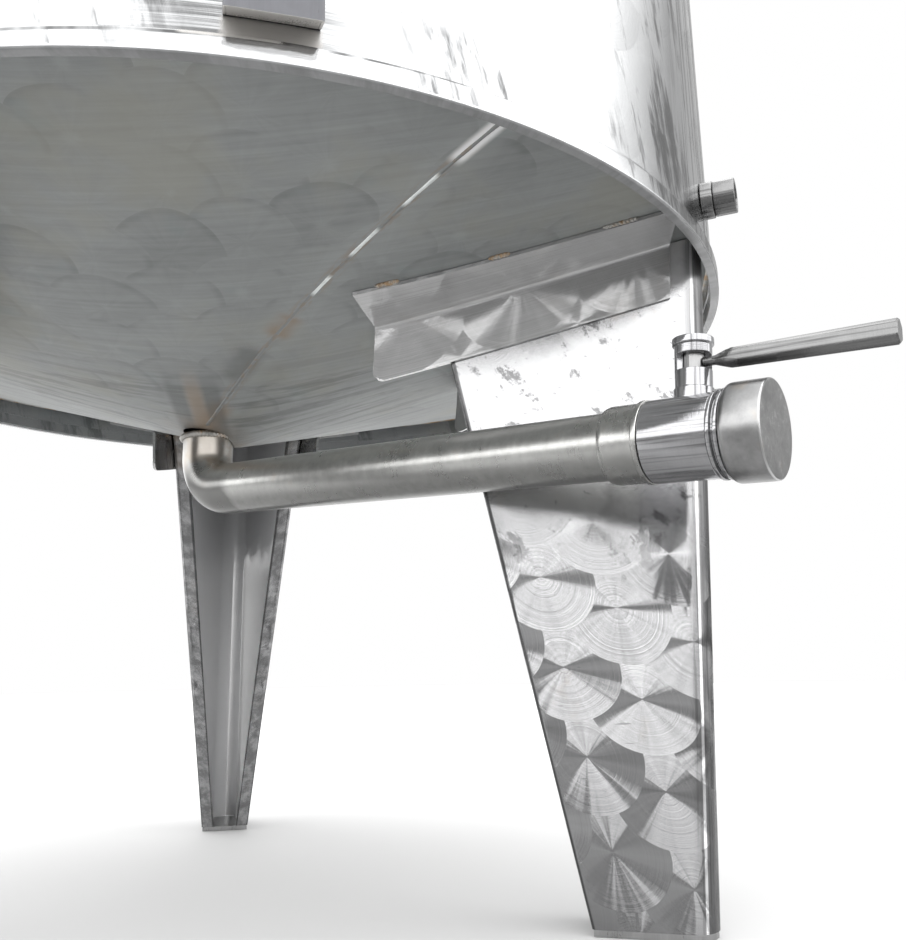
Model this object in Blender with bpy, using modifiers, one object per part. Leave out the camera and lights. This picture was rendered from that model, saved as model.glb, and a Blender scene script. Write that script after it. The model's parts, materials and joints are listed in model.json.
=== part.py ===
"""Vertical storage tank on three folded-sheet legs, with a low drain pipe and a lever valve.

Units are metres, +Z is up and the floor is z = 0. The tank's axis stands beside the origin,
because the origin is the middle of the whole footprint, valve and lever included.
"""
import math

import bpy
from mathutils import Vector

# Driving dimensions: tank
RIM_RADIUS = 0.510
SHELL_RADIUS = 0.505
SHEET = 0.003
RIM_Z = 0.561
BAND_HEIGHT = 0.016
SKIRT_DEPTH = 0.036
SHELL_HEIGHT = 1.250
BOTTOM_SLOPE = 0.295
ROOF_SLOPE = 0.270
PLATE_COUNT = 4
PLATE_SEAM_AZIMUTH = -34.7

# Driving dimensions: legs
LEG_AZIMUTHS = {"right": -34.5, "back": 89.8, "left": 207.5}
LEG_SHEET = 0.003
LEG_NOSE_RADIUS = 0.022
LEG_SPREAD_TOP = 0.0694
LEG_SPREAD_FOOT = 0.0087
LEG_FACE_X = 0.4815
LEG_LEAN = 0.028
LEG_WIDTH_TOP = 0.229
LEG_WIDTH_FOOT = 0.078
LEG_LIP_TOP = 0.021
LEG_LIP_FOOT = 0.016
FOOT_PLATE = 0.005
FOOT_INSET = 0.001
BRACKET_SHEET = 0.003
BRACKET_START = 0.011
BRACKET_LENGTHS = {"right": 0.264, "back": 0.264, "left": 0.150}
BRACKET_DROP = 0.054
BRACKET_FLANGE = 0.056
BAND_FILLET = 0.003

# Driving dimensions: drain and valve
DRAIN_OFFSET_X = -0.0296
DRAIN_HOLE_RADIUS = 0.0265
PIPE_RADIUS = 0.026
PIPE_WALL = 0.002
VALVE_WALL = 0.0055
PIPE_AZIMUTH = -49.9
PIPE_FALL = 3.0
PIPE_DROP = 0.160
ELBOW_RADIUS = 0.038
SLEEVE_START = 0.477
VALVE_START = 0.510
RINGS_START = 0.561
CAP_START = 0.5695
CAP_END = 0.5995
SLEEVE_RADIUS = 0.0300
VALVE_RADIUS = 0.0310
CAP_RADIUS = 0.0355
CAP_FILLET = 0.005
CAP_FLOOR = 0.004
RING_PROUD = 0.0015
RING_GROOVE = 0.0025
FITTING_EDGE = 0.001
STEM_STATION = 0.5415
STEM_RADIUS = 0.008
NECK_RADIUS = 0.0135
NECK_TOP = 0.0735
NECK_SADDLE = 0.006
NECK_RIM = 0.0015
NECK_RIM_HEIGHT = 0.006
NECK_FOOT = 0.0011
NECK_FOOT_HEIGHT = 0.004
STEM_CLEARANCE = 0.0006
STEM_BELOW_TOP = 0.004
PIN_RADIUS = 0.004
LEVER_HEIGHT = 0.055
LEVER_LENGTH = 0.138
LEVER_ROOT_RADIUS = 0.0035
LEVER_RADII = (0.0078, 0.0092)
LEVER_CONE_START = 0.0165
LEVER_CONE_END = 0.034
SLOT_HEIGHT = 0.012
SLOT_ANGLES = (-125.0, 35.0)
DISC_RADIUS = 0.0238
DISC_SHEET = 0.003

# Driving dimensions: small fittings on the wall and the roof
NIPPLE_AZIMUTH = -37.0
NIPPLE_RADIUS = 0.0155
NIPPLE_LENGTH = 0.029
NIPPLE_WALL = 0.004
BOSS_LENGTH = 0.010
NIPPLE_LOW = 0.062
NIPPLE_HIGH = 0.760
GUARD_AZIMUTH = -88.6
GUARD_WIDTH = 0.058
GUARD_DEPTH = 0.022
GUARD_BOTTOM = 0.031
GUARD_TOP = 1.190
GUARD_SHEET = 0.002
GUARD_HALF_SLOT = 0.009
GAUGE_RADIUS = 0.008
GAUGE_INSET = 0.020
MANWAY_RADIUS = 0.205
MANWAY_HEIGHT = 0.075
MANWAY_BELOW_ROOF = 0.020
LID_RISE = 0.030
LID_OVERHANG = 0.010
LID_EDGE = 0.004
LID_LIP = 0.012
KNOB = ((0.0, 0.034), (0.018, 0.034), (0.026, 0.028), (0.028, 0.020), (0.022, 0.012), (0.010, 0.008),
        (0.010, 0.0), (0.0, 0.0))
VENT_AZIMUTH = 118.0
VENT_DISTANCE = 0.350
VENT_RADIUS = 0.020
VENT_HEIGHT = 0.070
EYE_AZIMUTHS = {"left": 172.0, "right": -8.0}
EYE_DISTANCE = 0.400
EYE_HALF_WIDTH = 0.030
EYE_CROWN = 0.045
EYE_HOLE = 0.014
EYE_SHEET = 0.006

GAP = 0.0003
ROUND_STEPS = 72
BODY_STEPS = 36
TUBE_STEPS = 24
HOLE_REACH = 0.05

INNER_RADIUS = SHELL_RADIUS - SHEET
SHELL_Z = RIM_Z + BAND_HEIGHT + GAP
SHELL_TOP = SHELL_Z + SHELL_HEIGHT
ROOF_Z = SHELL_TOP - SKIRT_DEPTH

COLOURS = {
    "shell_steel": ((0.74, 0.75, 0.76), 0.22),
    "bottom_steel": ((0.62, 0.63, 0.64), 0.38),
    "leg_steel": ((0.68, 0.69, 0.70), 0.30),
    "pipe_steel": ((0.56, 0.56, 0.55), 0.34),
    "polished_steel": ((0.78, 0.78, 0.79), 0.14),
    "gauge_plastic": ((0.82, 0.88, 0.88), 0.20),
    "black_knob": ((0.04, 0.04, 0.045), 0.45),
}
PLASTICS = ("gauge_plastic", "black_knob")
SHARP_ANGLE = math.radians(35)


def clear_scene():
    """Remove every object, so that the scene holds only this tank."""
    for item in list(bpy.data.objects):
        bpy.data.objects.remove(item, do_unlink=True)


def new_collection(name):
    """Link a new collection under the scene's own."""
    made = bpy.data.collections.new(name)
    bpy.context.scene.collection.children.link(made)
    return made


def material(name):
    """One Principled material for each finish of the tank."""
    if name in bpy.data.materials:
        return bpy.data.materials[name]
    made = bpy.data.materials.new(name)
    made.use_nodes = True
    shader = made.node_tree.nodes["Principled BSDF"]
    colour, roughness = COLOURS[name]
    shader.inputs["Base Color"].default_value = (*colour, 1.0)
    shader.inputs["Roughness"].default_value = roughness
    shader.inputs["Metallic"].default_value = 0.0 if name in PLASTICS else 1.0
    return made


def add_object(name, mesh, finish, parent, smooth=True):
    """Link a mesh as one named piece under its parent."""
    made = bpy.data.objects.new(name, mesh)
    mesh.materials.append(material(finish))
    PARTS.objects.link(made)
    made.parent = parent
    if smooth:
        mesh.shade_smooth()
        mesh.set_sharp_from_angle(angle=SHARP_ANGLE)
    return made


def add_empty(name, parent=None, location=(0, 0, 0), rotation=(0, 0, 0)):
    """A frame that a group of pieces is placed in."""
    made = bpy.data.objects.new(name, None)
    PARTS.objects.link(made)
    made.parent = parent
    made.location = location
    made.rotation_euler = rotation
    return made


def mesh_from(name, points, edges, faces):
    """A mesh from points that a function worked out."""
    made = bpy.data.meshes.new(name)
    made.from_pydata(points, edges, faces)
    made.update()
    return made


def turned(name, profile, finish, parent, steps=TUBE_STEPS, ring=True):
    """Turn a (radius, height) profile about local Z. A ring's profile closes on itself."""
    count = len(profile)
    edges = [(i, i + 1) for i in range(count - 1)]
    if ring:
        edges.append((count - 1, 0))
    mesh = mesh_from(name, [(r, 0, z) for r, z in profile], edges, [])
    made = add_object(name, mesh, finish, parent)
    screw = made.modifiers.new("Turn", "SCREW")
    screw.steps = steps
    screw.render_steps = steps
    screw.use_merge_vertices = True
    screw.merge_threshold = 0.00001
    screw.use_smooth_shade = True
    return made


def rounded(radius, height, fillet, up=True, parts=1):
    """Points of a quarter-round corner on a turned profile, in the order from top to bottom.

    With one part the corner is a plain chamfer."""
    points = []
    for i in range(parts + 1):
        turn = math.radians(90 * i / parts)
        across = radius - fillet + fillet * (math.sin(turn) if up else math.cos(turn))
        along = fillet * (math.cos(turn) - 1 if up else 1 - math.sin(turn))
        points.append((across, height + along))
    return points


def tube_profile(outer, inner, low, high, edge=0.0):
    """A tube's closed profile: down the outer side, then up the bore."""
    top = rounded(outer, high, edge) if edge else [(outer, high)]
    bottom = rounded(outer, low, edge, up=False) if edge else [(outer, low)]
    return [(inner, high)] + top + bottom + [(inner, low)]


def solidify(item, thickness, offset):
    """Give an open surface its sheet thickness."""
    sheet = item.modifiers.new("Sheet", "SOLIDIFY")
    sheet.thickness = thickness
    sheet.offset = offset
    sheet.use_even_offset = True
    sheet.use_quality_normals = True
    return sheet


def cut(item, cutter):
    """Subtract a cutter from a piece."""
    cutter.hide_render = True
    cutter.display_type = "WIRE"
    PARTS.objects.unlink(cutter)
    CUTTERS.objects.link(cutter)
    tool = item.modifiers.new("Cut " + cutter.name, "BOOLEAN")
    tool.operation = "DIFFERENCE"
    tool.object = cutter
    return tool


def bottom_z(radius):
    """Height of the bottom cone's underside at a distance from the axis."""
    return RIM_Z + SKIRT_DEPTH - BOTTOM_SLOPE * (INNER_RADIUS - radius)


def roof_z(radius):
    """Height of the roof's top surface at a distance from the axis."""
    return ROOF_Z + ROOF_SLOPE * (INNER_RADIUS - radius)


def grid_surface(name, rows, finish, parent, smooth=True):
    """An open surface through rows of points, with every row of the same length."""
    width = len(rows[0])
    points = [point for row in rows for point in row]
    faces = []
    for j in range(len(rows) - 1):
        for i in range(width - 1):
            a = j * width + i
            faces.append((a, a + 1, a + 1 + width, a + width))
    return add_object(name, mesh_from(name, points, [], faces), finish, parent, smooth)


def build_shell(root):
    """Wall plates, the bands at both ends, the bottom cone and the roof cone."""
    facets = ROUND_STEPS // PLATE_COUNT
    seam = GAP / SHELL_RADIUS / 2
    for i in range(PLATE_COUNT):
        line = [(SHELL_RADIUS, 0, SHELL_TOP), (SHELL_RADIUS, 0, SHELL_Z)]
        mesh = mesh_from("plate", line, [(0, 1)], [])
        plate = add_object(f"shell_plate_{i + 1}", mesh, "shell_steel", root)
        screw = plate.modifiers.new("Turn", "SCREW")
        screw.angle = math.tau / PLATE_COUNT - 2 * seam
        screw.steps = facets
        screw.render_steps = facets
        solidify(plate, SHEET, -1)
        plate.rotation_euler.z = math.radians(PLATE_SEAM_AZIMUTH + 360 / PLATE_COUNT * i) + seam

    for name, low in (("bottom_band", RIM_Z), ("top_band", SHELL_TOP + GAP)):
        band = tube_profile(RIM_RADIUS, INNER_RADIUS, low, low + BAND_HEIGHT, BAND_FILLET)
        turned(name, band, "shell_steel", root, ROUND_STEPS)

    edge = INNER_RADIUS - GAP
    cone = [(0.0, bottom_z(0.0) + SHEET), (edge, bottom_z(edge) + SHEET), (edge, bottom_z(edge)),
            (0.0, bottom_z(0.0))]
    bottom = turned("bottom_cone", cone, "bottom_steel", root, ROUND_STEPS, ring=False)
    high = RIM_Z + SKIRT_DEPTH
    opening = [(0.0, high), (DRAIN_HOLE_RADIUS, high), (DRAIN_HOLE_RADIUS, 0.0), (0.0, 0.0)]
    hole = turned("drain_hole", opening, "bottom_steel", root, ring=False)
    hole.location.x = DRAIN_OFFSET_X
    cut(bottom, hole)

    neck = MANWAY_RADIUS + GAP
    roof = [(neck, roof_z(neck)), (edge, roof_z(edge)), (edge, roof_z(edge) - SHEET),
            (neck, roof_z(neck) - SHEET)]
    turned("roof_cone", roof, "shell_steel", root, ROUND_STEPS)


def leg_share(z):
    """0 at the level of the tank's rim and 1 at the floor."""
    return (RIM_Z - z) / RIM_Z


def leg_width(share):
    """Length of a leg's side face, from the round nose to the bend of its lip."""
    return LEG_WIDTH_TOP + (LEG_WIDTH_FOOT - LEG_WIDTH_TOP) * share


def leg_half_angle(share):
    """Half the angle between a leg's two faces. The faces spread evenly from the floor to the rim."""
    return math.asin((LEG_SPREAD_TOP + (LEG_SPREAD_FOOT - LEG_SPREAD_TOP) * share) / leg_width(share))


def leg_section(z, inset=0.0, lips=True):
    """Outer outline of a leg at one height, in the leg's own frame with +X outward."""
    share = leg_share(z)
    half = leg_half_angle(share)
    width = leg_width(share)
    lip = LEG_LIP_TOP + (LEG_LIP_FOOT - LEG_LIP_TOP) * share
    radius = LEG_NOSE_RADIUS - inset
    centre_x = LEG_FACE_X - LEG_LEAN * share - LEG_NOSE_RADIUS * math.sin(half)
    width -= inset
    points = []
    arc_parts = 8
    side_parts = 6
    for i in range(arc_parts + 1):
        turn = (math.pi / 2 - half) * (-1 + 2 * i / arc_parts)
        points.append(Vector((centre_x + radius * math.cos(turn), radius * math.sin(turn), z)))
    along = Vector((-math.cos(half), -math.sin(half), 0))
    side = [points[0] + along * width * i / side_parts for i in range(side_parts, 0, -1)]
    if lips:
        side.insert(0, side[0] + Vector((0, lip, 0)))
    mirrored = [Vector((p.x, -p.y, p.z)) for p in reversed(side)]
    return side + points + mirrored


def leg_top_z(outer, inner):
    """Height at which a leg's edge stays just under the bottom cone on both faces of the sheet."""
    radii = (math.hypot(outer.x, outer.y), math.hypot(inner.x, inner.y))
    return min(bottom_z(r) for r in radii) - 2 * GAP


def build_leg(side, frame):
    """One folded leg with its foot plate and the two angle brackets that tie it to the cone."""
    foot_z = FOOT_PLATE + GAP
    foot = leg_section(foot_z)
    top = leg_section(RIM_Z)
    inner = leg_section(RIM_Z, inset=LEG_SHEET)
    rows = [foot]
    top_row = []
    for low, point, back in zip(foot, top, inner):
        height = leg_top_z(point, back)
        reach = (height - foot_z) / (RIM_Z - foot_z)
        top_row.append(low + (point - low) * reach)
    rows.append(top_row)
    leg = grid_surface(f"leg_{side}", rows, "leg_steel", frame)
    solidify(leg, LEG_SHEET, -1)

    outline = leg_section(0.0, inset=FOOT_INSET, lips=False)
    sole = bpy.data.curves.new(f"foot_plate_{side}", "CURVE")
    sole.dimensions = "2D"
    sole.fill_mode = "BOTH"
    sole.extrude = FOOT_PLATE / 2
    spline = sole.splines.new("POLY")
    spline.points.add(len(outline) - 1)
    for dot, point in zip(spline.points, outline):
        dot.co = (point.x, point.y, 0, 1)
    spline.use_cyclic_u = True
    plate = bpy.data.objects.new(f"foot_plate_{side}", sole)
    sole.materials.append(material("leg_steel"))
    PARTS.objects.link(plate)
    plate.parent = frame
    plate.location.z = FOOT_PLATE / 2

    for name, mirror in (("a", -1), ("b", 1)):
        build_bracket(f"bracket_{side}_{name}", frame, mirror, BRACKET_LENGTHS[side])


def on_leg_face(z, station, away):
    """A point off a leg's face: so far from the nose along the face, and so far out from it."""
    share = leg_share(z)
    half = leg_half_angle(share)
    x = LEG_FACE_X - LEG_LEAN * share - station * math.cos(half) + away * math.sin(half)
    y = -LEG_NOSE_RADIUS * math.cos(half) - station * math.sin(half) - away * math.cos(half)
    return Vector((x, y, z))


def under_cone(point):
    """The same point, moved up or down until it is just under the bottom cone."""
    return Vector((point.x, point.y, bottom_z(math.hypot(point.x, point.y)) - 2 * GAP))


def build_bracket(name, frame, mirror, length):
    """A folded angle: one flange lies on the leg's face and the other under the cone."""
    stations = 8
    rows = []
    for i in range(stations + 1):
        station = BRACKET_START + length * i / stations
        away = 2 * GAP
        bend = under_cone(on_leg_face(RIM_Z, station, away))
        bend = under_cone(on_leg_face(bend.z, station, away))
        middle = under_cone(on_leg_face(bend.z, station, away + BRACKET_FLANGE / 2))
        edge = under_cone(on_leg_face(bend.z, station, away + BRACKET_FLANGE))
        low = on_leg_face(bend.z - BRACKET_DROP, station, away)
        rows.append([Vector((p.x, -mirror * p.y, p.z)) for p in (edge, middle, bend, low)])
    if mirror > 0:
        rows.reverse()
    made = grid_surface(name, rows, "leg_steel", frame)
    solidify(made, BRACKET_SHEET, -1)
    return made


def build_legs(root):
    """Three legs, about 120 degrees apart."""
    for side, azimuth in LEG_AZIMUTHS.items():
        frame = add_empty(f"leg_frame_{side}", root, rotation=(0, 0, math.radians(azimuth)))
        build_leg(side, frame)


def along_pipe(item, station=0.0):
    """Turn a piece made along local Z so that it lies along the pipe."""
    item.rotation_euler = (0, math.pi / 2, 0)
    item.location.x = station
    return item


def build_drain(root):
    """Riser, elbow and pipe that lead from the cone to the valve."""
    centre = Vector((DRAIN_OFFSET_X, 0, RIM_Z - PIPE_DROP))
    heading = math.radians(PIPE_AZIMUTH)
    fall = math.radians(PIPE_FALL)
    upright = add_empty("drain_frame", root, centre, (0, 0, heading))
    outlet = add_empty("outlet_frame", upright, (0, 0, 0), (0, fall, 0))

    sweep = math.pi / 2 - fall
    reach = ELBOW_RADIUS * math.tan(sweep / 2)
    ring = [(PIPE_RADIUS * math.cos(math.tau * i / TUBE_STEPS) - ELBOW_RADIUS, 0,
             PIPE_RADIUS * math.sin(math.tau * i / TUBE_STEPS)) for i in range(TUBE_STEPS)]
    edges = [(i, (i + 1) % TUBE_STEPS) for i in range(TUBE_STEPS)]
    elbow = add_object("drain_elbow", mesh_from("drain_elbow", ring, edges, []), "pipe_steel", upright)
    bend = elbow.modifiers.new("Bend", "SCREW")
    bend.angle = sweep
    bend.steps = 8
    bend.render_steps = 8
    solidify(elbow, PIPE_WALL, -1)
    elbow.location = (ELBOW_RADIUS, 0, reach)
    elbow.rotation_euler = (math.pi / 2, 0, 0)

    neck_top = bottom_z(abs(DRAIN_OFFSET_X)) - centre.z
    riser = tube_profile(PIPE_RADIUS, PIPE_RADIUS - PIPE_WALL, reach + GAP, neck_top + SHEET)
    turned("drain_riser", riser, "pipe_steel", upright)
    pipe = tube_profile(PIPE_RADIUS, PIPE_RADIUS - PIPE_WALL, reach + GAP, SLEEVE_START - GAP)
    along_pipe(turned("drain_pipe", pipe, "pipe_steel", outlet))
    return outlet


def build_valve(outlet):
    """Sleeve, body, neck, outlet rings and blank cap, with the disc and lever that turn."""
    bore = VALVE_RADIUS - VALVE_WALL
    tube_bore = PIPE_RADIUS - PIPE_WALL
    sleeve = tube_profile(SLEEVE_RADIUS, tube_bore, SLEEVE_START, VALVE_START - GAP, FITTING_EDGE)
    along_pipe(turned("valve_sleeve", sleeve, "pipe_steel", outlet))
    barrel = tube_profile(VALVE_RADIUS, bore, VALVE_START, RINGS_START, FITTING_EDGE)
    body = along_pipe(turned("valve_body", barrel, "polished_steel", outlet, BODY_STEPS))

    groove = VALVE_RADIUS - RING_GROOVE
    ridge = VALVE_RADIUS + RING_PROUD
    high = CAP_START - GAP
    low = RINGS_START + GAP
    third = (high - low) / 3
    rings = [(bore, high), (ridge, high), (ridge, high - third), (groove, high - third),
             (groove, low + third), (ridge, low + third), (ridge, low), (bore, low)]
    along_pipe(turned("outlet_rings", rings, "polished_steel", outlet, BODY_STEPS))

    floor = CAP_END - CAP_FLOOR
    cap_low = rounded(CAP_RADIUS, CAP_START, CAP_FILLET, up=False, parts=3)
    cap_high = rounded(CAP_RADIUS, CAP_END, FITTING_EDGE)
    cap = [(0.0, CAP_END)] + cap_high + cap_low + [(bore, CAP_START), (bore, floor), (0.0, floor)]
    along_pipe(turned("outlet_cap", cap, "pipe_steel", outlet, BODY_STEPS, ring=False))

    stem_frame = add_empty("stem_frame", outlet, (STEM_STATION, 0, 0))
    lever_frame = add_empty("lever_frame", stem_frame)
    stem_bore = STEM_RADIUS + STEM_CLEARANCE
    hole = turned("stem_hole", [(0.0, HOLE_REACH), (stem_bore, HOLE_REACH), (stem_bore, 0.0), (0.0, 0.0)],
                  "polished_steel", stem_frame, ring=False)
    cut(body, hole)

    base = VALVE_RADIUS + GAP
    rim_low = NECK_TOP - NECK_RIM_HEIGHT
    foot_high = base + NECK_FOOT_HEIGHT
    neck = turned("valve_neck", [
        (stem_bore, NECK_TOP), (NECK_RADIUS + NECK_RIM, NECK_TOP), (NECK_RADIUS + NECK_RIM, rim_low),
        (NECK_RADIUS, rim_low), (NECK_RADIUS, foot_high), (NECK_RADIUS + NECK_FOOT, foot_high),
        (NECK_RADIUS + NECK_FOOT, base - NECK_SADDLE), (stem_bore, base - NECK_SADDLE)],
        "polished_steel", stem_frame, BODY_STEPS)
    cut(neck, neck_slot(stem_frame))
    seat = [(0.0, HOLE_REACH), (base, HOLE_REACH), (base, -HOLE_REACH), (0.0, -HOLE_REACH)]
    trim = turned("neck_seat", seat, "polished_steel", stem_frame, ROUND_STEPS, ring=False)
    trim.rotation_euler = (0, math.pi / 2, 0)
    cut(neck, trim)

    stem_top = NECK_TOP - STEM_BELOW_TOP
    pin_end = DISC_RADIUS - DISC_SHEET / 2
    stem = turned("valve_disc", [
        (0.0, stem_top), (STEM_RADIUS, stem_top), (STEM_RADIUS, DISC_RADIUS + STEM_CLEARANCE),
        (PIN_RADIUS, pin_end), (PIN_RADIUS, -pin_end), (0.0, -pin_end)],
        "polished_steel", lever_frame, ring=False)
    half = DISC_SHEET / 2
    disc = turned("disc_plate", [(0.0, half), (DISC_RADIUS, half), (DISC_RADIUS, -half), (0.0, -half)],
                  "polished_steel", lever_frame, BODY_STEPS, ring=False)
    disc.rotation_euler = (math.pi / 2, 0, 0)
    disc.hide_render = True
    disc.display_type = "WIRE"
    PARTS.objects.unlink(disc)
    CUTTERS.objects.link(disc)
    join = stem.modifiers.new("Join disc", "BOOLEAN")
    join.operation = "UNION"
    join.object = disc

    root_end = STEM_RADIUS + GAP
    lever = turned("valve_lever", [
        (0.0, LEVER_LENGTH), (LEVER_RADII[1] - FITTING_EDGE, LEVER_LENGTH),
        (LEVER_RADII[1], LEVER_LENGTH - FITTING_EDGE), (LEVER_RADII[0], LEVER_CONE_END),
        (LEVER_ROOT_RADIUS, LEVER_CONE_START), (LEVER_ROOT_RADIUS, root_end), (0.0, root_end)],
        "polished_steel", lever_frame, 6, ring=False)
    lever.rotation_euler = (0, math.pi / 2, 0)
    lever.location.z = LEVER_HEIGHT


def neck_slot(frame):
    """The sector that the lever's root sweeps through in the neck."""
    low, high = (math.radians(angle) for angle in SLOT_ANGLES)
    reach = NECK_RADIUS + 4 * NECK_RIM
    count = 12
    outline = [(0.0, 0.0)]
    for i in range(count + 1):
        turn = low + (high - low) * i / count
        outline.append((reach * math.cos(turn), reach * math.sin(turn)))
    bottom = [(x, y, LEVER_HEIGHT - SLOT_HEIGHT / 2) for x, y in outline]
    top = [(x, y, LEVER_HEIGHT + SLOT_HEIGHT / 2) for x, y in outline]
    size = len(outline)
    faces = [tuple(reversed(range(size))), tuple(range(size, 2 * size))]
    for i in range(size):
        j = (i + 1) % size
        faces.append((i, j, j + size, i + size))
    mesh = mesh_from("neck_slot", bottom + top, [], faces)
    return add_object("neck_slot", mesh, "polished_steel", frame, smooth=False)


def radial(name, profile, finish, root, azimuth, distance, height, steps=TUBE_STEPS):
    """A turned piece whose axis points straight out of the wall."""
    made = turned(name, profile, finish, root, steps)
    turn = math.radians(azimuth)
    made.location = (distance * math.cos(turn), distance * math.sin(turn), height)
    made.rotation_euler = (0, math.pi / 2, turn)
    return made


def build_wall_fittings(root):
    """Jacket nipples with their bosses, and the level gauge behind its guard."""
    seat = SHELL_RADIUS * math.cos(math.pi / ROUND_STEPS) + 1.5 * GAP
    bore = NIPPLE_RADIUS - NIPPLE_WALL
    for label, height in (("lower", NIPPLE_LOW), ("upper", NIPPLE_HIGH)):
        boss = tube_profile(NIPPLE_RADIUS + FITTING_EDGE, bore, 0.0, BOSS_LENGTH, FITTING_EDGE)
        radial(f"{label}_jacket_boss", boss, "polished_steel", root, NIPPLE_AZIMUTH, seat, RIM_Z + height)
        nipple = tube_profile(NIPPLE_RADIUS, bore, BOSS_LENGTH + GAP, NIPPLE_LENGTH, FITTING_EDGE)
        radial(f"{label}_jacket_nipple", nipple, "polished_steel", root, NIPPLE_AZIMUTH, seat, RIM_Z + height)

    frame = add_empty("gauge_frame", root, rotation=(0, 0, math.radians(GUARD_AZIMUTH)))
    half = GUARD_WIDTH / 2
    face = SHELL_RADIUS + GUARD_DEPTH
    wall = math.sqrt(SHELL_RADIUS ** 2 - half ** 2) + 2 * GAP
    low = RIM_Z + GUARD_BOTTOM
    high = RIM_Z + GUARD_TOP
    for name, sign in (("left", -1), ("right", 1)):
        outline = [(wall, sign * half), (face, sign * half), (face, sign * GUARD_HALF_SLOT)]
        rows = [[(x, y, z) for x, y in outline] for z in (low, high)]
        if sign > 0:
            rows.reverse()
        guard = grid_surface(f"gauge_guard_{name}", rows, "shell_steel", frame, False)
        solidify(guard, GUARD_SHEET, -1)
    low += GAUGE_INSET
    high -= GAUGE_INSET
    tube = turned("gauge_tube", [(0.0, high), (GAUGE_RADIUS, high), (GAUGE_RADIUS, low), (0.0, low)],
                  "gauge_plastic", frame, ring=False)
    tube.location.x = SHELL_RADIUS + 2 * GAP + GAUGE_RADIUS


def build_roof_fittings(root):
    """Manway with its lid and knob, a vent and two lifting eyes."""
    top = roof_z(MANWAY_RADIUS) + MANWAY_HEIGHT
    low = roof_z(MANWAY_RADIUS) - MANWAY_BELOW_ROOF
    neck = tube_profile(MANWAY_RADIUS, MANWAY_RADIUS - SHEET, low, top)
    turned("manway_neck", neck, "shell_steel", root, ROUND_STEPS)

    rim = MANWAY_RADIUS + LID_OVERHANG
    lid = [(0.0, top + LID_RISE)]
    dome_parts = 5
    for i in range(1, dome_parts + 1):
        share = i / dome_parts
        lid.append((rim * share, top + GAP + LID_EDGE + (LID_RISE - LID_EDGE) * (1 - share ** 2)))
    lid += [(rim, top - LID_LIP), (rim - SHEET, top - LID_LIP), (rim - SHEET, top + GAP), (0.0, top + GAP)]
    turned("manway_lid", lid, "shell_steel", root, ROUND_STEPS, ring=False)
    turned("lid_knob", KNOB, "black_knob", root, ring=False).location.z = top + LID_RISE + GAP

    turn = math.radians(VENT_AZIMUTH)
    vent_low = roof_z(VENT_DISTANCE - VENT_RADIUS) + 2 * GAP
    vent = tube_profile(VENT_RADIUS, VENT_RADIUS - PIPE_WALL, 0.0, VENT_HEIGHT, FITTING_EDGE)
    made = turned("vent_pipe", vent, "polished_steel", root)
    made.location = (VENT_DISTANCE * math.cos(turn), VENT_DISTANCE * math.sin(turn), vent_low)

    for side, azimuth in EYE_AZIMUTHS.items():
        frame = add_empty(f"eye_frame_{side}", root, rotation=(0, 0, math.radians(azimuth)))
        build_eye(side, frame)


def build_eye(side, frame):
    """A flat plate with a round hole, standing on the roof."""
    inside = EYE_DISTANCE - EYE_HALF_WIDTH
    outside = EYE_DISTANCE + EYE_HALF_WIDTH
    low = [(inside, roof_z(inside) + 2 * GAP), (outside, roof_z(outside) + 2 * GAP)]
    crown = roof_z(EYE_DISTANCE) + EYE_CROWN
    plate = bpy.data.curves.new(f"lifting_eye_{side}", "CURVE")
    plate.dimensions = "2D"
    plate.fill_mode = "BOTH"
    plate.extrude = EYE_SHEET / 2
    arc = [(EYE_DISTANCE + EYE_HALF_WIDTH * math.cos(math.pi * i / 12),
            crown + EYE_HALF_WIDTH * math.sin(math.pi * i / 12)) for i in range(13)]
    hole = [(EYE_DISTANCE + EYE_HOLE * math.cos(math.tau * i / 16),
             crown + EYE_HOLE * math.sin(math.tau * i / 16)) for i in range(16)]
    for outline in (low + arc, hole):
        spline = plate.splines.new("POLY")
        spline.points.add(len(outline) - 1)
        for dot, (x, z) in zip(spline.points, outline):
            dot.co = (x, z, 0, 1)
        spline.use_cyclic_u = True
    made = bpy.data.objects.new(f"lifting_eye_{side}", plate)
    plate.materials.append(material("shell_steel"))
    PARTS.objects.link(made)
    made.parent = frame
    made.rotation_euler = (math.pi / 2, 0, 0)


def centre_footprint(root):
    """Move the tank so that the origin is the middle of its footprint."""
    bpy.context.view_layer.update()
    shapes = bpy.context.evaluated_depsgraph_get()
    low = Vector((math.inf, math.inf))
    high = Vector((-math.inf, -math.inf))
    for item in PARTS.objects:
        if item.type == "EMPTY":
            continue
        mesh = item.evaluated_get(shapes).to_mesh()
        for corner in mesh.vertices:
            place = item.matrix_world @ corner.co
            low = Vector((min(low.x, place.x), min(low.y, place.y)))
            high = Vector((max(high.x, place.x), max(high.y, place.y)))
    middle = (low + high) / 2
    root.location = (-middle.x, -middle.y, 0)


clear_scene()
PARTS = new_collection("vertical storage tank")
CUTTERS = new_collection("cutters")
AXIS = add_empty("tank_axis")
build_shell(AXIS)
build_legs(AXIS)
build_valve(build_drain(AXIS))
build_wall_fittings(AXIS)
build_roof_fittings(AXIS)
centre_footprint(AXIS)
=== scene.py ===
"""Looks of the vertical storage tank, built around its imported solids.

Units are metres, +Z is up, the floor is z = 0 and the level gauge faces -Y.
Every new piece is a surface worked out with numpy on a grid of two parameters.
"""
import json
import math

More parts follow.
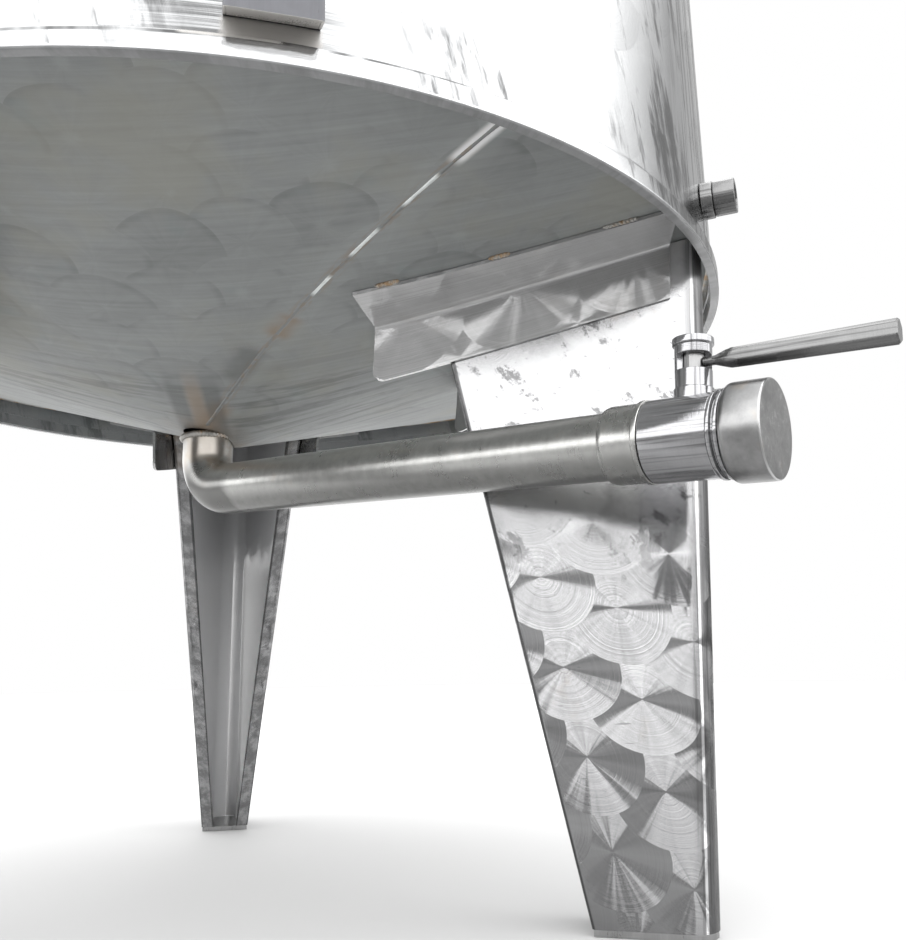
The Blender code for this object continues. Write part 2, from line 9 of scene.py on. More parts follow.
import bmesh
import bpy
import numpy as np
from bpy.props import FloatProperty, FloatVectorProperty, PointerProperty
from mathutils import Matrix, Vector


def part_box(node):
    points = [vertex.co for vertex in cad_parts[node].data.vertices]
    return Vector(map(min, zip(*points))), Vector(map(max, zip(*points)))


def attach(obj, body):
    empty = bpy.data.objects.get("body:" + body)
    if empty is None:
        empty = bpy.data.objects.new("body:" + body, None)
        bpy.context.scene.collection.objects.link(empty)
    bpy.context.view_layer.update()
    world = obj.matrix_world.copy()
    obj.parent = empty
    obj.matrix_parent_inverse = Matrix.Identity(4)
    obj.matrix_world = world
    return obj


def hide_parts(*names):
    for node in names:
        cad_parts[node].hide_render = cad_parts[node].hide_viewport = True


bl_info = {
    "name": "Vertical storage tank",
    "version": (1, 0, 0),
    "blender": (4, 5, 0),
    "location": "View3D > Sidebar > Storage tank",
    "description": "Builds the visible pieces and finishes of a steel storage tank on folded legs",
    "category": "Object",
}

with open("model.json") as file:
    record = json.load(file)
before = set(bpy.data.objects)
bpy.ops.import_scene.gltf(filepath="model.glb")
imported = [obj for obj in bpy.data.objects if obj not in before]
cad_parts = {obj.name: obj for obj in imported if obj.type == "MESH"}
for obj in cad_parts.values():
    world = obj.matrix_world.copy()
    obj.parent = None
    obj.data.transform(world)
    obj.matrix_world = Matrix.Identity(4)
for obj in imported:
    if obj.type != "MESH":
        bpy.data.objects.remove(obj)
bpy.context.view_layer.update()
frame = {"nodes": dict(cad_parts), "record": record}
UV_NAME = "surface"
TINY = 1e-9

# How far the surface map of a sheet's inner face lies beside and above that of its outer face
INNER_MAP = 2.0
INNER_DROP = 0.43

# Steps round the wall and its bands
ROUND_STEPS = 288

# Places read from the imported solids
RIM_LOW, RIM_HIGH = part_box("bottom_band")
AXIS_X = (RIM_LOW.x + RIM_HIGH.x) / 2
AXIS_Y = (RIM_LOW.y + RIM_HIGH.y) / 2
RIM_RADIUS = (RIM_HIGH.x - RIM_LOW.x) / 2
RIM_Z = RIM_LOW.z
SHELL_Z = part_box("shell_plate_1")[0].z
SHELL_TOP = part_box("shell_plate_1")[1].z
TOP_BAND_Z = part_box("top_band")[1].z
ROOF_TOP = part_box("roof_cone")[1].z
LID_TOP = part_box("manway_lid")[1].z
NECK_LOW, NECK_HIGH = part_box("manway_neck")
VENT_LOW, VENT_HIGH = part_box("vent_pipe")

# Sheets of the tank, repeated from the part's source like all the sizes below
SHELL_RADIUS = 0.505
INNER_RADIUS = 0.502
SKIRT_DEPTH = 0.036
BOTTOM_SLOPE = 0.295
ROOF_SLOPE = 0.270
GAP = 0.0003
SHEET_EDGE = INNER_RADIUS - GAP
CONE_SHEET = 0.003
ROOF_HOLE = 0.2053
MANWAY_RADIUS = 0.205
DRAIN_HOLE = 0.0265
WALL_SEAM = math.radians(-38.5)

# Legs: a pair holds the value at the rim and at the floor
LEG_AZIMUTHS = {"right": -34.5, "back": 89.8, "left": 207.5}
LEG_SPREADS = (0.0694, 0.0087)
LEG_WIDTHS = (0.229, 0.078)
LEG_LIPS = (0.021, 0.016)
LEG_NOSE_RADIUS = 0.022
LEG_FACE_X = 0.4815
LEG_LEAN = 0.028
LEG_SHEET = 0.003
LEG_BEND = 0.0055
FOOT_TOP = 0.0053

# Half the way round a leg from lip to lip, where its surface map ends
LEG_EDGES = (0.2758, 0.1241)

# Brackets between the legs and the cone
BRACKET_LENGTHS = {"right": 0.264, "back": 0.264, "left": 0.150}
BRACKET_START = 0.011
BRACKET_DROP = 0.054
BRACKET_FLANGE = 0.056
BRACKET_SHEET = 0.003

# Drain and valve: a start or an end is a distance along the pipe from the corner of the elbow
DRAIN_OFFSET_X = -0.0296
PIPE_DROP = 0.160
PIPE_HEADING = math.radians(-49.9)
PIPE_FALL = math.radians(3.0)
ELBOW_RADIUS = 0.038
PIPE_RADIUS = 0.026
BORE = 0.024
SLEEVE_RADIUS = 0.0316
SLEEVE_START = 0.477
VALVE_START = 0.510
BARREL_RADIUS = 0.0310
RINGS_START = 0.561
CAP_START = 0.5695
CAP_END = 0.5995
STEM_STATION = 0.5415
NECK_TOP = 0.0735
LEVER_HEIGHT = 0.055

# Length along the cap's section, from its bore, at which its side meets its face
CAP_EDGE = 0.0391

# Fittings on the wall
NIPPLE_AZIMUTH = math.radians(-37.0)
NIPPLE_HEIGHTS = {"lower": 0.062, "upper": 0.760}
GUARD_AZIMUTH = math.radians(-88.6)

# The bottom's weld, in plan: both ends, and how far it bows from the straight line
SEAM_START = np.array((-0.031, -0.036))
SEAM_END = np.array((0.1885, -0.4598))
SEAM_LENGTH = float(np.linalg.norm(SEAM_END - SEAM_START))
SEAM_WAY = (SEAM_END - SEAM_START) / SEAM_LENGTH
SEAM_BOW = 0.0209

# Camera of the photograph, in units of the rim's radius and in radians
CAMERA_DISTANCE = 1.9562
CAMERA_BELOW = 0.6763
CAMERA_YAW = 0.236
CAMERA_PITCH = 0.2082
CAMERA_ROLL = -0.0155
CAMERA_LENS = 35.37

# Light: strength of the sky, the side on which a dark screen stands, and the floor's two tones
SKY_STRENGTH = 3.0
SCREEN_SIDE = (0.79, 0.59, 0.17)
FLOOR_Z = -0.0005
FLOOR_BEHIND = 0.20
FLOOR_AHEAD = 0.52


# Meshes

def place(points, matrix):
    """Every point times a 4 x 4 matrix, whatever the shape of the array of points."""
    turn = np.array(matrix)
    return points @ turn[:3, :3].T + turn[:3, 3]


def joined(*parts):
    """Arrays stretched to one common shape and joined along a new last axis."""
    return np.stack(np.broadcast_arrays(*parts), axis=-1)


def unit(vectors):
    """Vectors along the last axis, made one long."""
    return vectors / np.maximum(np.linalg.norm(vectors, axis=-1, keepdims=True), TINY)


def axis_frame(x=0.0, y=0.0, z=0.0, azimuth=0.0):
    """A frame on the tank's axis, turned about it and moved by x, y and z in that turned frame."""
    upright = Matrix.Translation((AXIS_X, AXIS_Y, 0)) @ Matrix.Rotation(azimuth, 4, "Z")
    return upright @ Matrix.Translation((x, y, z))


def grid_faces(rows, columns, first):
    """Corners of every quad of a grid: each corner is its row times the columns plus its column."""
    corner = np.arange(rows - 1)[:, None] * columns + np.arange(columns - 1)[None, :] + first
    quads = np.stack((corner, corner + 1, corner + 1 + columns, corner + columns), axis=-1)
    return quads.reshape(-1, 4)


def make_piece(name, grids, matrix, finish, stands_for=(), body="tank", bevel=0.0):
    """One piece from grids of (points, surface map) in a frame, joined where their edges meet.

    The grids of a piece close it, so after the doubles are merged the faces are turned outwards."""
    points = np.concatenate([place(grid, matrix).reshape(-1, 3) for grid, _ in grids])
    charts = np.concatenate([chart.reshape(-1, 2) for _, chart in grids])
    faces = []
    first = 0
    for grid, _ in grids:
        faces.append(grid_faces(grid.shape[0], grid.shape[1], first))
        first += grid.shape[0] * grid.shape[1]
    faces = np.concatenate(faces)
    mesh = bpy.data.meshes.new(name)
    mesh.from_pydata(points, [], faces)
    layer = mesh.uv_layers.new(name=UV_NAME)
    layer.data.foreach_set("uv", charts[faces.ravel()].astype(np.float32).ravel())
    work = bmesh.new()
    work.from_mesh(mesh)
    bmesh.ops.remove_doubles(work, verts=work.verts, dist=2e-6)
    bmesh.ops.dissolve_degenerate(work, edges=work.edges, dist=1e-7)
    bmesh.ops.recalc_face_normals(work, faces=work.faces)
    work.to_mesh(mesh)
    work.free()
    mesh.shade_smooth()
    mesh.set_sharp_from_angle(angle=math.radians(35))
    mesh.materials.append(FINISHES[finish])
    piece = bpy.data.objects.new(name, mesh)
    bpy.context.scene.collection.objects.link(piece)
    if bevel:
        edge = piece.modifiers.new("Edges", "BEVEL")
        edge.width = bevel
        edge.segments = 2
        edge.limit_method = "ANGLE"
        edge.angle_limit = math.radians(50)
        edge.harden_normals = False
    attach(piece, body)
    if stands_for:
        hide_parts(*stands_for)
    return piece


def soft_corners(corners, cuts, parts=4):
    """A profile whose corners are rounded by quadratic arcs that start a cut before each corner.

    Between t = 0 and 1 an arc is (1-t)^2 A + 2t(1-t) P + t^2 B, with A and B on the two sides of P."""
    corners = np.array(corners, float)
    cuts = np.array(cuts, float)[:, None]
    before = np.vstack((corners[:1], corners[:-1])) - corners
    after = np.vstack((corners[1:], corners[-1:])) - corners
    before_length = np.maximum(np.linalg.norm(before, axis=1, keepdims=True), TINY)
    after_length = np.maximum(np.linalg.norm(after, axis=1, keepdims=True), TINY)
    start = corners + before / before_length * np.minimum(cuts, before_length / 2)
    end = corners + after / after_length * np.minimum(cuts, after_length / 2)
    t = np.linspace(0, 1, parts + 1)[None, :, None]
    arcs = (1 - t) ** 2 * start[:, None] + 2 * t * (1 - t) * corners[:, None] + t ** 2 * end[:, None]
    inner = arcs[1:-1].reshape(-1, corners.shape[1])
    return np.vstack((corners[:1], inner, corners[-1:]))


def path_lengths(points):
    """Length along a path up to each of its points."""
    return np.concatenate(([0.0], np.cumsum(np.linalg.norm(np.diff(points, axis=0), axis=1))))


def finer(profile, step):
    """The same profile with extra points, no further apart than a step, and every corner kept."""
    lengths = path_lengths(profile)
    stations = np.union1d(lengths, np.arange(0, lengths[-1], step))
    return np.stack([np.interp(stations, lengths, profile[:, i]) for i in range(profile.shape[1])], axis=1)


def closed(profile):
    """A profile that ends where it starts."""
    return np.vstack((profile, profile[:1]))


def lathe(profile, steps, wave=None):
    """A profile of (radius, height) turned once about the local Z axis.

    The point at angle a is (r cos a, r sin a, z). A wave adds its share to r from a and z.
    The surface map is the angle times the largest radius, and the length along the profile."""
    turn = np.linspace(0, math.tau, steps + 1)[None, :]
    radius, height = profile.T[:, :, None]
    if wave is not None:
        radius = radius + wave(turn, height)
    chart = joined(turn * profile[:, 0].max(), path_lengths(profile)[:, None])
    return joined(radius * np.cos(turn), radius * np.sin(turn), height), chart


def hollow(inner, outer, low, high):
    """The four corners of a plain ring's section."""
    return [(inner, low), (outer, low), (outer, high), (inner, high)]


def turned_piece(name, corners, cuts, parts, steps, matrix, finish, stands_for):
    """A turned part from the corners of its section, rounded by their cuts, about local Z.

    A section that starts on the axis also ends there. Any other one is closed at its first corner."""
    if corners[0][0] > 0.0:
        corners = [*corners, corners[0]]
        cuts = [*cuts, 0]
    grid = lathe(soft_corners(corners, cuts, parts), steps)
    return make_piece(name, [grid], matrix, finish, [stands_for])


def sweep(path, across, radius, steps):
    """A circle carried along a path that lies in one plane.

    At each point the circle's plane is spanned by the direction across that plane and by its
    product with the path's tangent. The surface map is the angle times the radius, and the length."""
    side = np.array(across, float)[None, :]
    upward = np.cross(side, unit(np.gradient(path, axis=0)))
    turn = np.linspace(0, math.tau, steps + 1)[None, :, None]
    grid = path[:, None, :] + radius * (np.cos(turn) * side[:, None, :] + np.sin(turn) * upward[:, None, :])
    return grid, joined(turn[:, :, 0] * radius, path_lengths(path)[:, None])


def between(first, second, chart):
    """A strip from one row of points to another of the same length, straight across."""
    return np.stack((first, second)), np.stack((chart, chart))


def four_sides(first, second, chart):
    """The four strips that join the edges of one grid to those of another."""
    every = slice(None)
    return [between(first[cut], second[cut], chart[cut]) for cut in (0, -1, (every, 0), (every, -1))]


def sheet_solid(outer, inner, chart):
    """A closed sheet: its two faces and the four strips along its edges.

    The surface map of the inner face is shifted, so that a finish can tell the faces apart."""
    return [(outer, chart), (inner, chart + (INNER_MAP, INNER_DROP))] + four_sides(outer, inner, chart)


def offset_line(line, inset):
    """A flat line of points moved sideways, at a right angle to its slope at each point."""
    return line + unit(np.gradient(line, axis=0))[:, ::-1] * (-inset, inset)


def weld_bead(path, normals, width, height, pitch, seed=0.0):
    """A rippled bead along a path on a surface, sunk a little into it, with pointed ends.

    Across the path it is half an ellipse, width wide and height high, with q from -1 to 1. Along
    it the height follows 1 + 0.25 cos(2 pi (s + 0.7 pitch q^2) / pitch), so the ripples are bowed."""
    lengths = path_lengths(path)
    side = np.cross(normals, unit(np.gradient(path, axis=0)))
    q = np.linspace(-1, 1, 9)[None, :]
    s = lengths[:, None]
    ripple = 1 + 0.25 * np.cos(math.tau * (s + pitch * 0.7 * q ** 2) / pitch + seed)
    wander = 1 + 0.12 * np.sin(s * 190 + seed) + 0.08 * np.sin(s * 83 + seed * 2)
    end = np.clip(np.minimum(s, lengths[-1] - s) / (width * 0.6) + 0.05, 0.05, 1) ** 0.5
    lift = height * np.sqrt(1 - q ** 2) * ripple * end - height * 0.35
    reach = width / 2 * q * wander * end
    foot = path[:, None] + side[:, None] * reach[..., None]
    top = foot + normals[:, None] * lift[..., None]
    low = foot - normals[:, None] * (height * 0.7)
    chart = joined(reach, s)
    return [(top, chart), (low, chart)] + four_sides(top, low, chart)


def ring_bead(name, radius, height, matrix, width, seed=0.0):
    """A rippled bead round a circle about local Z: a small circle whose radius swells and shrinks."""
    turn = np.linspace(0, math.tau, 241)[:, None]
    roll = np.linspace(0, math.tau, 13)[None, :]
    ripples = max(8, round(math.tau * radius / 0.0035))
    swell = 0.16 * np.cos(ripples * turn + 1.2 * np.cos(roll)) + 0.10 * np.sin(3 * turn + seed)
    fat = width / 2 * (1 + swell)
    out = radius + fat * np.cos(roll)
    grid = joined(out * np.cos(turn), out * np.sin(turn), height + fat * np.sin(roll))
    return make_piece(name, [(grid, joined(turn * radius, roll * width))], matrix, "bead")


def bottom_z(radius):
    """Height of the bottom cone's underside at a distance from the axis."""
    return RIM_Z + SKIRT_DEPTH - BOTTOM_SLOPE * (INNER_RADIUS - radius)


def roof_z(radius):
    """Height of the roof's top at a distance from the axis."""
    return ROOF_TOP - ROOF_SLOPE * (radius - ROOF_HOLE)


# Materials

class Value:
    """A socket of a material, or a number, so that maths on sockets reads as plain Python."""

    def __init__(self, shade, socket):
        self.shade = shade
        self.socket = socket

    def maths(self, operation, *others, clamp=False):
        """One Math node on this socket and up to two more sockets or numbers."""
        node = self.shade.node("ShaderNodeMath", {"operation": operation, "use_clamp": clamp},
                               dict(enumerate((self, *others))))
        return Value(self.shade, node.outputs[0])

    def __add__(self, other):
        return self.maths("ADD", other)

    def __mul__(self, other):
        return self.maths("MULTIPLY", other)

    def __sub__(self, other):
        return self.maths("SUBTRACT", other)

    def __rsub__(self, other):
        return self.maths("MULTIPLY_ADD", -1.0, other)

    def __truediv__(self, other):
        return self.maths("DIVIDE", other)

    def __abs__(self):
        return self.maths("ABSOLUTE")

    def root(self):
        """Square root, with anything below 0 taken as 0."""
        return self.maths("MAXIMUM", 0.0).maths("SQRT")

    def floor(self):
        return self.maths("FLOOR")

    def sign(self):
        return self.maths("SIGN")

    def clamp(self):
        """The value kept between 0 and 1."""
        return self.maths("ADD", 0.0, clamp=True)

    def over(self, limit):
        return self.maths("GREATER_THAN", limit)

    def step(self, low, high):
        """0 up to low, 1 from high on, and a smooth rise between them."""
        node = self.shade.node("ShaderNodeMapRange", {"interpolation_type": "SMOOTHSTEP"},
                               {"Value": self, "From Min": low, "From Max": high})
        return Value(self.shade, node.outputs[0])

    def fall(self, low, high):
        """1 up to low, 0 from high on, and a smooth fall between them."""
        return 1.0 - self.step(low, high)

    def blend(self, first, second):
        """First where this is 0 and second where it is 1."""
        node = self.shade.node("ShaderNodeMix", {"data_type": "FLOAT"},
                               {"Factor": self, "A": first, "B": second})
        return Value(self.shade, node.outputs[0])


class Nodes:
    """The nodes of a material or of the world."""

    def __init__(self, tree):
        self.tree = tree
        tree.nodes.clear()

    def node(self, kind, settings, values):
        """A node of a kind, with its settings made first and then its sockets' values or links."""
        made = self.tree.nodes.new(kind)
        for key, setting in settings.items():
            setattr(made, key, setting)
        for key, value in values.items():
            socket = made.inputs[key]
            if not socket.enabled:
                socket = [each for each in made.inputs if each.name == key and each.enabled][0]
            self.fill(socket, value)
        return made

    def fill(self, socket, value):
        """Link a socket to another one, or set its own value."""
        if isinstance(value, Value):
            value = value.socket
        if isinstance(value, bpy.types.NodeSocket):
            self.tree.links.new(value, socket)
        elif socket.type == "RGBA" and len(value) == 3:
            socket.default_value = (*value, 1.0)
        else:
            socket.default_value = value

    def parts(self, vector):
        """The three numbers of a vector."""
        node = self.node("ShaderNodeSeparateXYZ", {}, {0: vector})
        return tuple(Value(self, each) for each in node.outputs)

    def chart(self):
        """The two lengths of the piece's own surface map, in metres."""
        return self.parts(self.node("ShaderNodeUVMap", {"uv_map": UV_NAME}, {}).outputs[0])[:2]

    def place(self):
        """The three Object coordinates."""
        return self.parts(self.node("ShaderNodeTexCoord", {}, {}).outputs["Object"])

    def join(self, x, y=0.0, z=0.0):
        """A vector from three values."""
        return Value(self, self.node("ShaderNodeCombineXYZ", {}, {0: x, 1: y, 2: z}).outputs[0])

    def vectors(self, operation, *values, **more):
        """One Vector Math node."""
        node = self.node("ShaderNodeVectorMath", {"operation": operation}, dict(enumerate(values)) | more)
        return Value(self, node.outputs[0])

    def noise(self, vector, scale, detail=2.0, roughness=0.5):
        """Noise on a vector, between about 0.2 and 0.8."""
        node = self.node("ShaderNodeTexNoise", {"noise_dimensions": "3D"},
                         {"Vector": vector, "Scale": scale, "Detail": detail, "Roughness": roughness})
        return Value(self, node.outputs[0])

    def line_noise(self, along, scale, detail=1.0):
        """Noise that depends on one length only."""
        node = self.node("ShaderNodeTexNoise", {"noise_dimensions": "1D"},
                         {"W": along, "Scale": scale, "Detail": detail})
        return Value(self, node.outputs[0])

    def colours(self, factor, first, second):
        """First colour where the factor is 0 and second where it is 1."""
        node = self.node("ShaderNodeMix", {"data_type": "RGBA"}, {"Factor": factor, "A": first, "B": second})
        return Value(self, [each for each in node.outputs if each.enabled][0])

    def normal(self):
        """The surface's normal."""
        return self.node("ShaderNodeNewGeometry", {}, {}).outputs["Normal"]

    def tangent(self):
        """The direction in which the first length of the surface map grows."""
        return self.node("ShaderNodeTangent", {"direction_type": "UV_MAP", "uv_map": UV_NAME}, {}).outputs[0]

    def facing_down(self):
        """How far a place faces down, from 0 where it is upright to 1."""
        return (self.parts(self.normal())[2] * -1.0).step(0.0, 0.75)

    def bump(self, height, strength, distance, normal=None):
        """A bump from a height of 0 to 1 times a distance in metres."""
        values = {"Height": height, "Strength": strength, "Distance": distance}
        if normal is not None:
            values["Normal"] = normal
        return Value(self, self.node("ShaderNodeBump", {}, values).outputs[0])


class Shade(Nodes):
    """One material: a single shader and what varies over it."""

    def __init__(self, name, metallic=1.0, roughness=0.3, **constants):
        self.material = bpy.data.materials.new(name)
        self.material.use_nodes = True
        super().__init__(self.material.node_tree)
        self.surface = self.node("ShaderNodeBsdfPrincipled", {},
                                 {"Metallic": metallic, "Roughness": roughness, **constants})
        self.node("ShaderNodeOutputMaterial", {}, {"Surface": self.surface.outputs[0]})

    def spot(self, squash=None):
        """The Object coordinates as one vector, whose height may be squashed by a factor."""
        x, y, z = self.place()
        return self.join(x, y, z * squash if squash else z)

    def paint(self, factor, colour):
        """Lay a colour over the base colour, as strongly as the factor says."""
        self.base = self.colours(factor, self.base, colour)

    def feed(self, **values):
        """Link the base colour and the named sockets of the material's shader, and hand the material on."""
        for key, value in {"Base Color": self.base, **values}.items():
            self.fill(self.surface.inputs[key], value)
        return self.material


def shades_of(colour, *shares):
    """A colour made darker or lighter by each share, as plain tuples."""
    return [tuple(min(1.0, part * share) for part in colour) for share in shares]


def shaded(colour, share):
    """A colour made darker or lighter by one share."""
    return shades_of(colour, share)[0]


def span(value, low, high, soft):
    """1 where a value lies between two limits, with soft ends."""
    return value.step(low - soft, low) * value.fall(high, high + soft)


def swirls(shade, u, v, disc, across, along, wander=0.010, stagger=0.618):
    """The overlapping round marks of a hand grinder, in columns, each lying over the one below.

    In a column the highest disc that still covers a point has the row number
    floor((v + h) / along - offset), with h the disc's half chord at the point's distance from the
    column. Of the two columns beside the point, the disc with the lower centre lies on top.
    It gives the point's place in its disc and a number for the disc. Stagger shifts the rows of
    each column against those of the one before."""
    u = u + (shade.noise(shade.join(u, v), 9.0) - 0.5) * wander
    v = v + (shade.noise(shade.join(v, u, 3.0), 8.0) - 0.5) * wander
    column = (u / across).floor()
    choices = []
    for k in (0.0, 1.0):
        number = column + k
        aside = u - number * across
        chord = (disc * disc - aside * aside).root()
        offset = (number * stagger + 100.0).maths("FRACT")
        row = ((v + chord) / along - offset).floor()
        centre = (row + offset) * along
        below = v - centre
        score = centre - below.over(chord) * 10.0
        choices.append((aside, below, score, number * 0.37 + row * 0.73))
    (aside_a, below_a, score_a, mark_a), (aside_b, below_b, score_b, mark_b) = choices
    pick = score_b.over(score_a)
    return pick.blend(aside_a, aside_b), pick.blend(below_a, below_b), pick.blend(mark_a, mark_b)


def swirl_normal(shade, aside, below, mark, depth, lean=0.03, side=1.0):
    """A normal tilted along each disc's radius by scratches that run round its centre.

    A scratch has two slopes, so the tilt is the sign of a fine noise of the radius times the
    depth, made uneven by the noise itself. A disc then shines in two opposite fans, as real
    grinding marks do, and rays of stronger and weaker tilt cross the fans. Each disc also leans
    a little as a whole. Side is -1 where the surface map runs the other way. It gives the normal,
    the distance from the disc's centre and the rays."""
    radius = (aside * aside + below * below).root() + 0.0005
    rays = shade.noise(shade.join(aside / radius, below / radius, mark * 3.1), 3.4, 2.0, 0.7) - 0.5
    raw = shade.line_noise(radius + mark * 0.31, 6000.0, 0.0) - 0.5
    tilt = (raw.sign() + raw * 0.8) * (rays * 1.5 + 1.0) * depth
    lean_u = (shade.line_noise(mark, 5.3, 0.0) - 0.5) * lean
    lean_v = (shade.line_noise(mark + 3.7, 6.1, 0.0) - 0.5) * lean
    tangent = shade.tangent()
    normal = shade.normal()
    upward = shade.vectors("CROSS_PRODUCT", normal, tangent)
    sideways = shade.vectors("SCALE", tangent, Scale=(aside / radius * tilt + lean_u) * side)
    lengthways = shade.vectors("SCALE", upward, Scale=below / radius * tilt + lean_v)
    leaning = shade.vectors("ADD", shade.vectors("ADD", normal, sideways), lengthways)
    return shade.vectors("NORMALIZE", leaning), radius, rays


def ground_sheet(shade, colour, tint, marks, disc, depth, roughness, calm=0.0, side=1.0):
    """What legs and brackets share: the paint of the swirls, with painted highlight in their rays, stains and
    a few scratches.

    Marks are the place in the surface map, and what swirls() gives for it. Where the sheet is
    calm the swirls are rubbed out. It gives the normal, the roughness, the stains and the wear."""
    u, v, (aside, below, mark) = marks
    normal, radius, rays = swirl_normal(shade, aside, below, mark, depth, side=side)
    rings = shade.line_noise(radius + mark, 800.0, 2.0) - 0.5
    tone = shade.line_noise(mark, 7.31, 0.0) - 0.5
    edge = (radius / disc).step(0.86, 1.0)
    dark, light, scratch = shades_of(colour, 0.70, 1.28, 0.40)
    # The rays are painted highlight: bright and dark fans in each disc, in place of the light that circular
    # scratches reflect. The rings, tones and edges are the swirls' own pattern.
    pattern = rings * 0.7 + rays * 0.9 + tone * 0.5 + edge * 0.12
    shade.base = shade.colours((pattern * (1.0 - calm) + 0.5).clamp(), dark, light)
    stain = shade.noise(shade.spot(), 13.0, 4.0, 0.6)
    stained = stain.step(0.60, 0.74)
    shade.paint(stained * 0.26, tint)
    scar = shade.noise(shade.join(u * 40.0, v * 260.0, mark), 1.0, 3.0, 0.7).step(0.68, 0.74)
    shade.paint(scar * 0.6, scratch)
    wear = shade.noise(shade.spot(), 160.0, 2.0) - 0.5
    return normal, rings * 0.06 + wear * 0.06 + stained * 0.08 + roughness, stain, wear


def leg_steel(colours):
    """Swirl-ground sheet of the legs. The first length of the map runs round the leg from its nose.

    The columns of swirls run beside the lips, so they close in towards the foot. Near the top the
    swirls are rubbed out and the sheet has dark splashes and specks. The colour darkens towards the
    foot as painted shade, in place of the darker ground that the lower leg reflects. Within 30 mm of
    the rim it is lighter and less metallic, as painted light against the shade and dark reflection
    there. The nose is painted dark as shade, in place of its darker reflection, with a painted
    highlight line at its bend. The lips are mottled between dark lines of painted shade along their
    fold and edge, and heat has browned the edge under the cone. The inner faces are rolled sheet
    without swirls. On the right one the part below the cone's shade has painted light, a brighter
    colour in place of the bright floor that it reflects, and its normal leans away from the nose and
    down, towards that floor."""
    shade = Shade("swirl_ground_legs")
    colour = colours.legs
    tint = colours.heat_tint
    round_leg, v = shade.chart()
    from_nose = abs(round_leg)
    inside = round_leg.over(INNER_MAP / 2)
    outside = 1.0 - inside
    from_lip = v * ((LEG_WIDTHS[0] - LEG_WIDTHS[1]) / RIM_Z) + (LEG_WIDTHS[1] - 0.002) - from_nose
    calm = v.step(RIM_Z - 0.300, RIM_Z - 0.205) * 0.85
    depth = (1.0 - calm) * (1.45 - v * (0.45 / RIM_Z)) * outside * 0.13
    disc = 0.046
    first_row = 0.008
    raised = v + first_row
    marks = (from_lip, raised, swirls(shade, from_lip, raised, disc, 0.057, 0.074))
    normal, rough, stain, wear = ground_sheet(shade, colour, tint, marks, disc, depth, 0.09, calm,
                                              round_leg.sign() * -1.0)

    splash_at = shade.join(from_lip * 26.0 + v * 13.0, v * 20.0 - from_lip * 9.0, 4.0)
    splash = shade.noise(splash_at, 1.0, 5.0, 0.72).step(0.565, 0.635)
    specks = shade.noise(shade.join(from_lip, v, 9.0), 170.0, 1.0).step(0.70, 0.74)
    shade.paint((splash * 0.8 + specks * 0.35).clamp() * calm, shaded(colour, 0.13))
    # Painted shade: darker towards the foot, in place of the darker ground that the lower leg reflects.
    shade.paint(v.fall(0.0, 0.330) * 0.75, shaded(colour, 0.42))

    # Painted light: on the right inner wall, below the cone's shade, a much brighter colour stands in for the
    # floor it reflects. The normal leans towards that floor.
    right_wall = inside * (1.0 - round_leg.over(INNER_MAP))
    painted_floor_light = (v - INNER_DROP + stain * 0.10).fall(0.400, 0.455) * right_wall
    shade.paint(inside, shade.colours(painted_floor_light, *shades_of(colour, 1.40, 2.38)))
    rough = inside.blend(rough + calm * 0.12, wear * 0.1 + stain * 0.3 + 0.22)
    on_wall = abs(round_leg - INNER_MAP).step(0.018, 0.026)
    outward = shade.vectors("SCALE", shade.tangent(), Scale=painted_floor_light * on_wall * -5.0)
    downward = shade.join(0.0, 0.0, painted_floor_light * (on_wall * -0.85 - 0.25))
    normal = shade.vectors("ADD", shade.vectors("ADD", normal, outward), downward)

    # Painted light: within 30 mm of the rim the sheet is lighter and less metallic, lifting the shade and
    # dark reflection under the rim.
    painted_light_under_rim = v.step(RIM_Z - 0.030, RIM_Z) * outside
    shade.paint(painted_light_under_rim * 0.8, shaded(colour, 1.5))
    # Painted shade and highlight: the nose is darkened in place of its darker reflection, and a bright line
    # is painted at its bend.
    nose = from_nose.fall(0.022, 0.030) * outside
    lines = shade.noise(shade.join(round_leg, v * 0.02), 420.0, 2.0).step(0.50, 0.62)
    shade.paint(nose * (lines * 0.4 + 0.5), shaded(colour, 0.30))
    painted_shade_nose = from_nose.fall(0.0150, 0.0180) * outside
    shade.paint(painted_shade_nose * (lines * 0.25 + 0.55), shaded(colour, 0.16))
    shade.paint(span(from_nose, 0.0182, 0.0200, 0.0008) * outside * 0.8, shaded(colour, 1.8))

    from_edge = v * ((LEG_EDGES[0] - LEG_EDGES[1]) / RIM_Z) + LEG_EDGES[1] - from_nose
    past_lip = from_edge - (v * ((LEG_LIPS[0] - LEG_LIPS[1]) / RIM_Z) + LEG_LIPS[1])
    mottle = shade.noise(shade.join(round_leg, v, 7.0), 55.0, 4.0, 0.7).step(0.40, 0.66)
    on_lip = past_lip.fall(-0.001, 0.001) * outside
    shade.paint(on_lip * 0.8, shade.colours(mottle, *shades_of(colour, 0.42, 1.05)))
    # Painted shade: dark lines along the lip's fold and along the sheet's edge.
    fold_shade_lines = abs(past_lip).fall(0.0008, 0.0022) + from_edge.fall(0.0012, 0.0026)
    shade.paint(fold_shade_lines.clamp() * outside * 0.8, shaded(colour, 0.12))
    burnt = v.step(0.455, 0.520) * from_edge.fall(0.025, 0.045) * stain.step(0.42, 0.58)
    shade.paint(burnt * outside * 0.6, tint)
    return shade.feed(Metallic=1.0 - ((inside - painted_floor_light) * 0.85 + painted_light_under_rim * 0.6).clamp(),
                      Normal=shade.vectors("NORMALIZE", normal), Roughness=rough + painted_shade_nose * 0.12)


